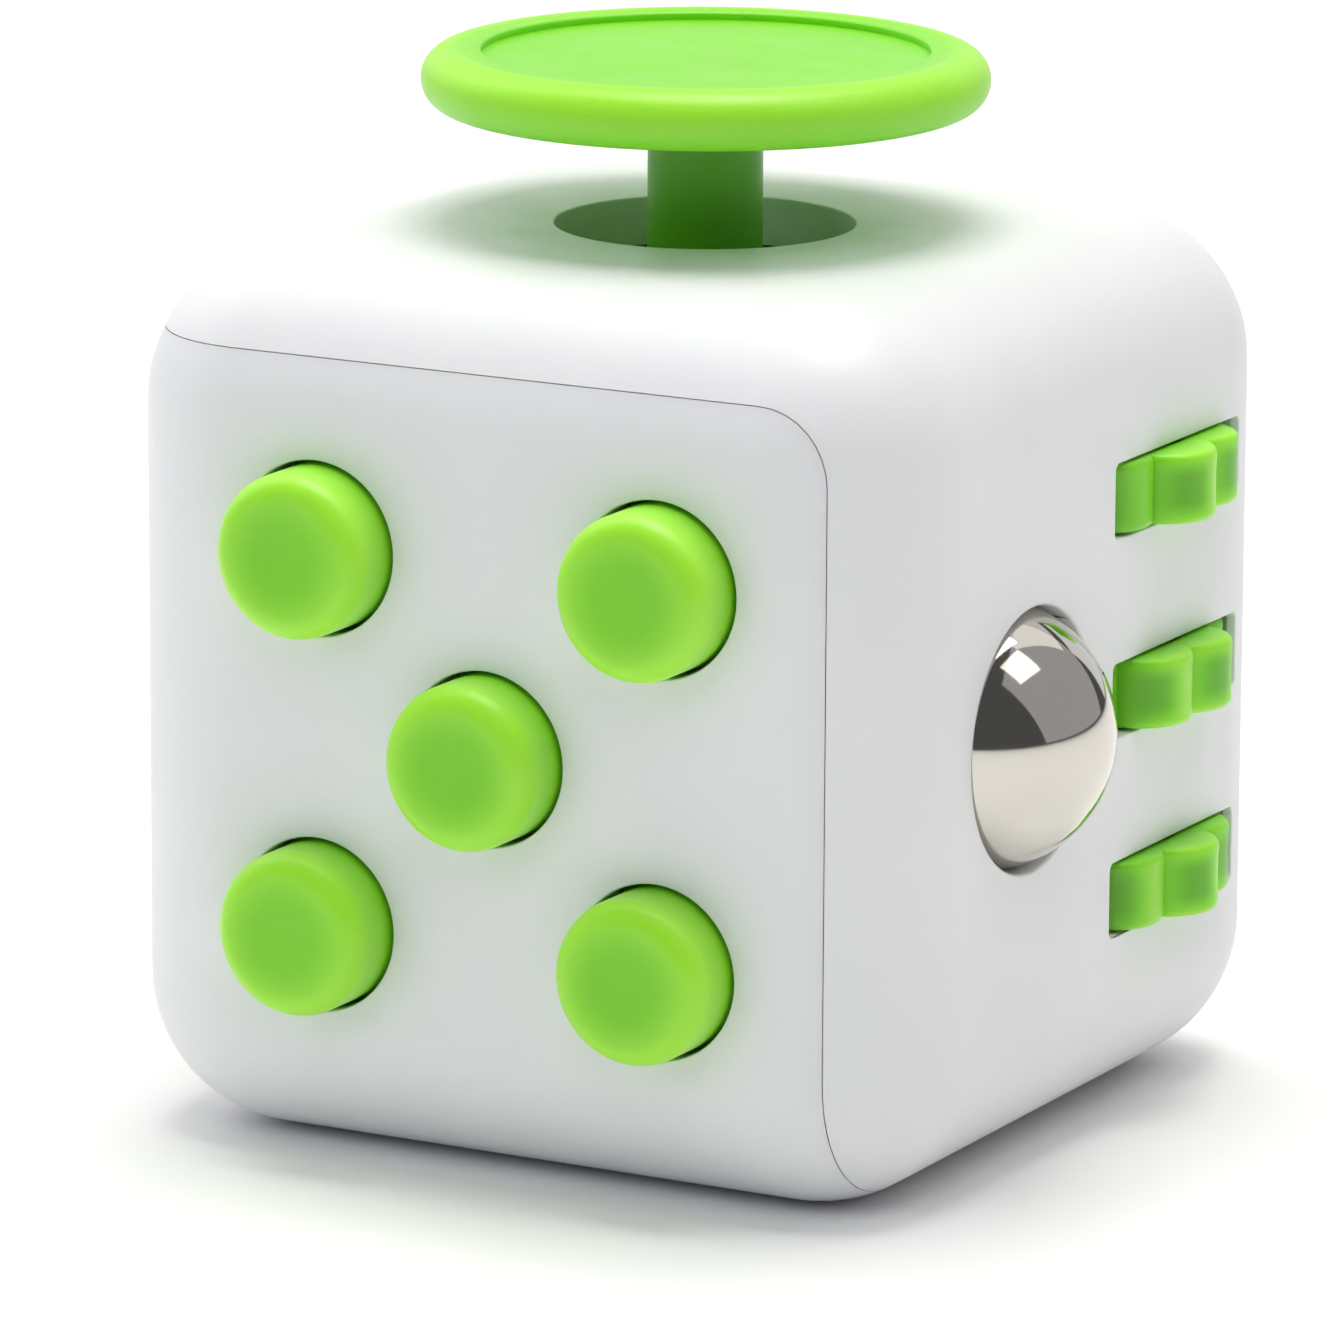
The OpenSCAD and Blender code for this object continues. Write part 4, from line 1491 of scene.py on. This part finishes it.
@dataclass
class Studio:
    """Pale sweep, soft lamps and a long lens. Lengths in metres, angles in degrees."""

    aim: Point = (0.0, 0.0, 0.0165)
    distance: float = 0.35474
    azimuth: float = 28.278
    elevation: float = 12.937
    roll: float = 0.319
    lens_mm: float = 257.14
    film_mm: float = 36.0
    shift: tuple[float, float] = (-0.02597, -0.00705)

    def camera(self) -> None:
        """Place the camera round the cube and make it the scene's."""
        data = bpy.data.cameras.new("camera")
        data.lens = self.lens_mm
        data.sensor_width = self.film_mm
        data.shift_x, data.shift_y = self.shift
        data.clip_start, data.clip_end = 0.01, 20.0
        camera = bpy.data.objects.new("camera", data)
        az, el, roll = (math.radians(a) for a in (self.azimuth, self.elevation, self.roll))
        back = Vector((math.sin(az) * math.cos(el), -math.cos(az) * math.cos(el), math.sin(el)))
        right = Vector((math.cos(az), math.sin(az), 0))
        up = back.cross(right)
        tipped = right * math.cos(roll) + up * math.sin(roll)
        upright = up * math.cos(roll) - right * math.sin(roll)
        spot = Vector(self.aim) + back * self.distance
        turn = Matrix((tipped, upright, back)).transposed().to_4x4()
        camera.matrix_world = Matrix.Translation(spot) @ turn
        bpy.context.scene.collection.objects.link(camera)
        bpy.context.scene.camera = camera

    def floor(self) -> None:
        """Lay a large sheet of white paper under the cube."""
        reach = 3.0
        corners = [(-reach, -reach, 0), (reach, -reach, 0), (reach, reach, 0), (-reach, reach, 0)]
        sheet = Form(corners, [(0, 1, 2, 3)]).as_object("floor")
        paper = StudioPaper("white_backdrop_paper", "f7f7f7", 0.9, 0.6, 0.01)
        sheet.data.materials.append(paper.make())

    def lamp(
        self, name: str, at: Point, size: tuple[float, float], watts: float, tint: str, mirrored: bool = True
    ) -> None:
        """Hang one soft box that faces the cube.

        Args:
            name: Lamp's name.
            at: Its place in metres.
            size: Its width and height.
            watts: Its power.
            tint: sRGB hex of its light.
            mirrored: Whether shiny surfaces show it.
        """
        data = bpy.data.lights.new(name, "AREA")
        data.shape = "RECTANGLE"
        data.size, data.size_y = size
        data.energy = watts
        data.color = linear(tint)[:3]
        lamp = bpy.data.objects.new(name, data)
        lamp.location = at
        lamp.visible_glossy = mirrored
        lamp.rotation_euler = (Vector(self.aim) - Vector(at)).to_track_quat("-Z", "Y").to_euler()
        bpy.context.scene.collection.objects.link(lamp)

    def surroundings(self) -> None:
        """Fill the room with even soft light."""
        world = bpy.data.worlds.new("studio")
        world.use_nodes = True
        back = world.node_tree.nodes["Background"]
        back.inputs["Color"].default_value = linear("f4f6fa")
        back.inputs["Strength"].default_value = 0.1
        bpy.context.scene.world = world

    def build(self) -> None:
        """Set up the whole studio."""
        self.camera()
        self.floor()
        self.surroundings()
        self.lamp("overhead_softbox", (0.0, 0.05, 0.70), (0.40, 0.40), 3.4, "fffdf8")
        self.lamp("rear_softbox", (0.0, 0.45, 0.65), (0.60, 0.60), 0.7, "fffdf8")
        self.lamp("left_softbox", (-0.5, 0.10, 0.60), (0.50, 0.50), 1.4, "fffdf8")
        self.lamp("right_panel", (0.579, 0.307, 0.475), (1.30, 1.10), 1.6, "fcfcff")
        self.lamp("right_softbox", (0.396, 0.035, 0.652), (0.32, 0.26), 0.4, "fffdf8")
        self.lamp("front_softbox", (0.15, -0.50, 0.60), (0.50, 0.40), 1.0, "fcfdff", mirrored=False)
        self.lamp("front_fill", (-0.45, -0.65, 0.35), (0.50, 0.50), 1.05, "eff4ff", mirrored=False)
        self.lamp("left_panel", (-0.8, 0.0, 0.30), (0.60, 0.50), 0.75, "f6f9ff")
        self.lamp("backdrop_panel", (-0.45, 0.85, 0.30), (1.80, 0.60), 2.5, "ffffff")
        bpy.context.scene.view_settings.view_transform = "Standard"


def main() -> None:
    """Build the cube's visible parts, dress the rest and set up the studio."""
    logging.basicConfig(level=logging.INFO, format="%(message)s")
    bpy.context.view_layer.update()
    palette = Palette()
    shop = Workshop(palette)
    InnerWorks(frame["record"]).dress(palette)
    casing = Casing()
    casing.build(shop)
    ButtonFace(casing).build(shop)
    Joystick().build(shop)
    GearStack(casing).build(shop)
    PressBall(casing).build(shop)
    Dial(casing).build(shop)
    Rocker(casing).build(shop)
    Studio().build()


if __name__ == "__main__":
    main()
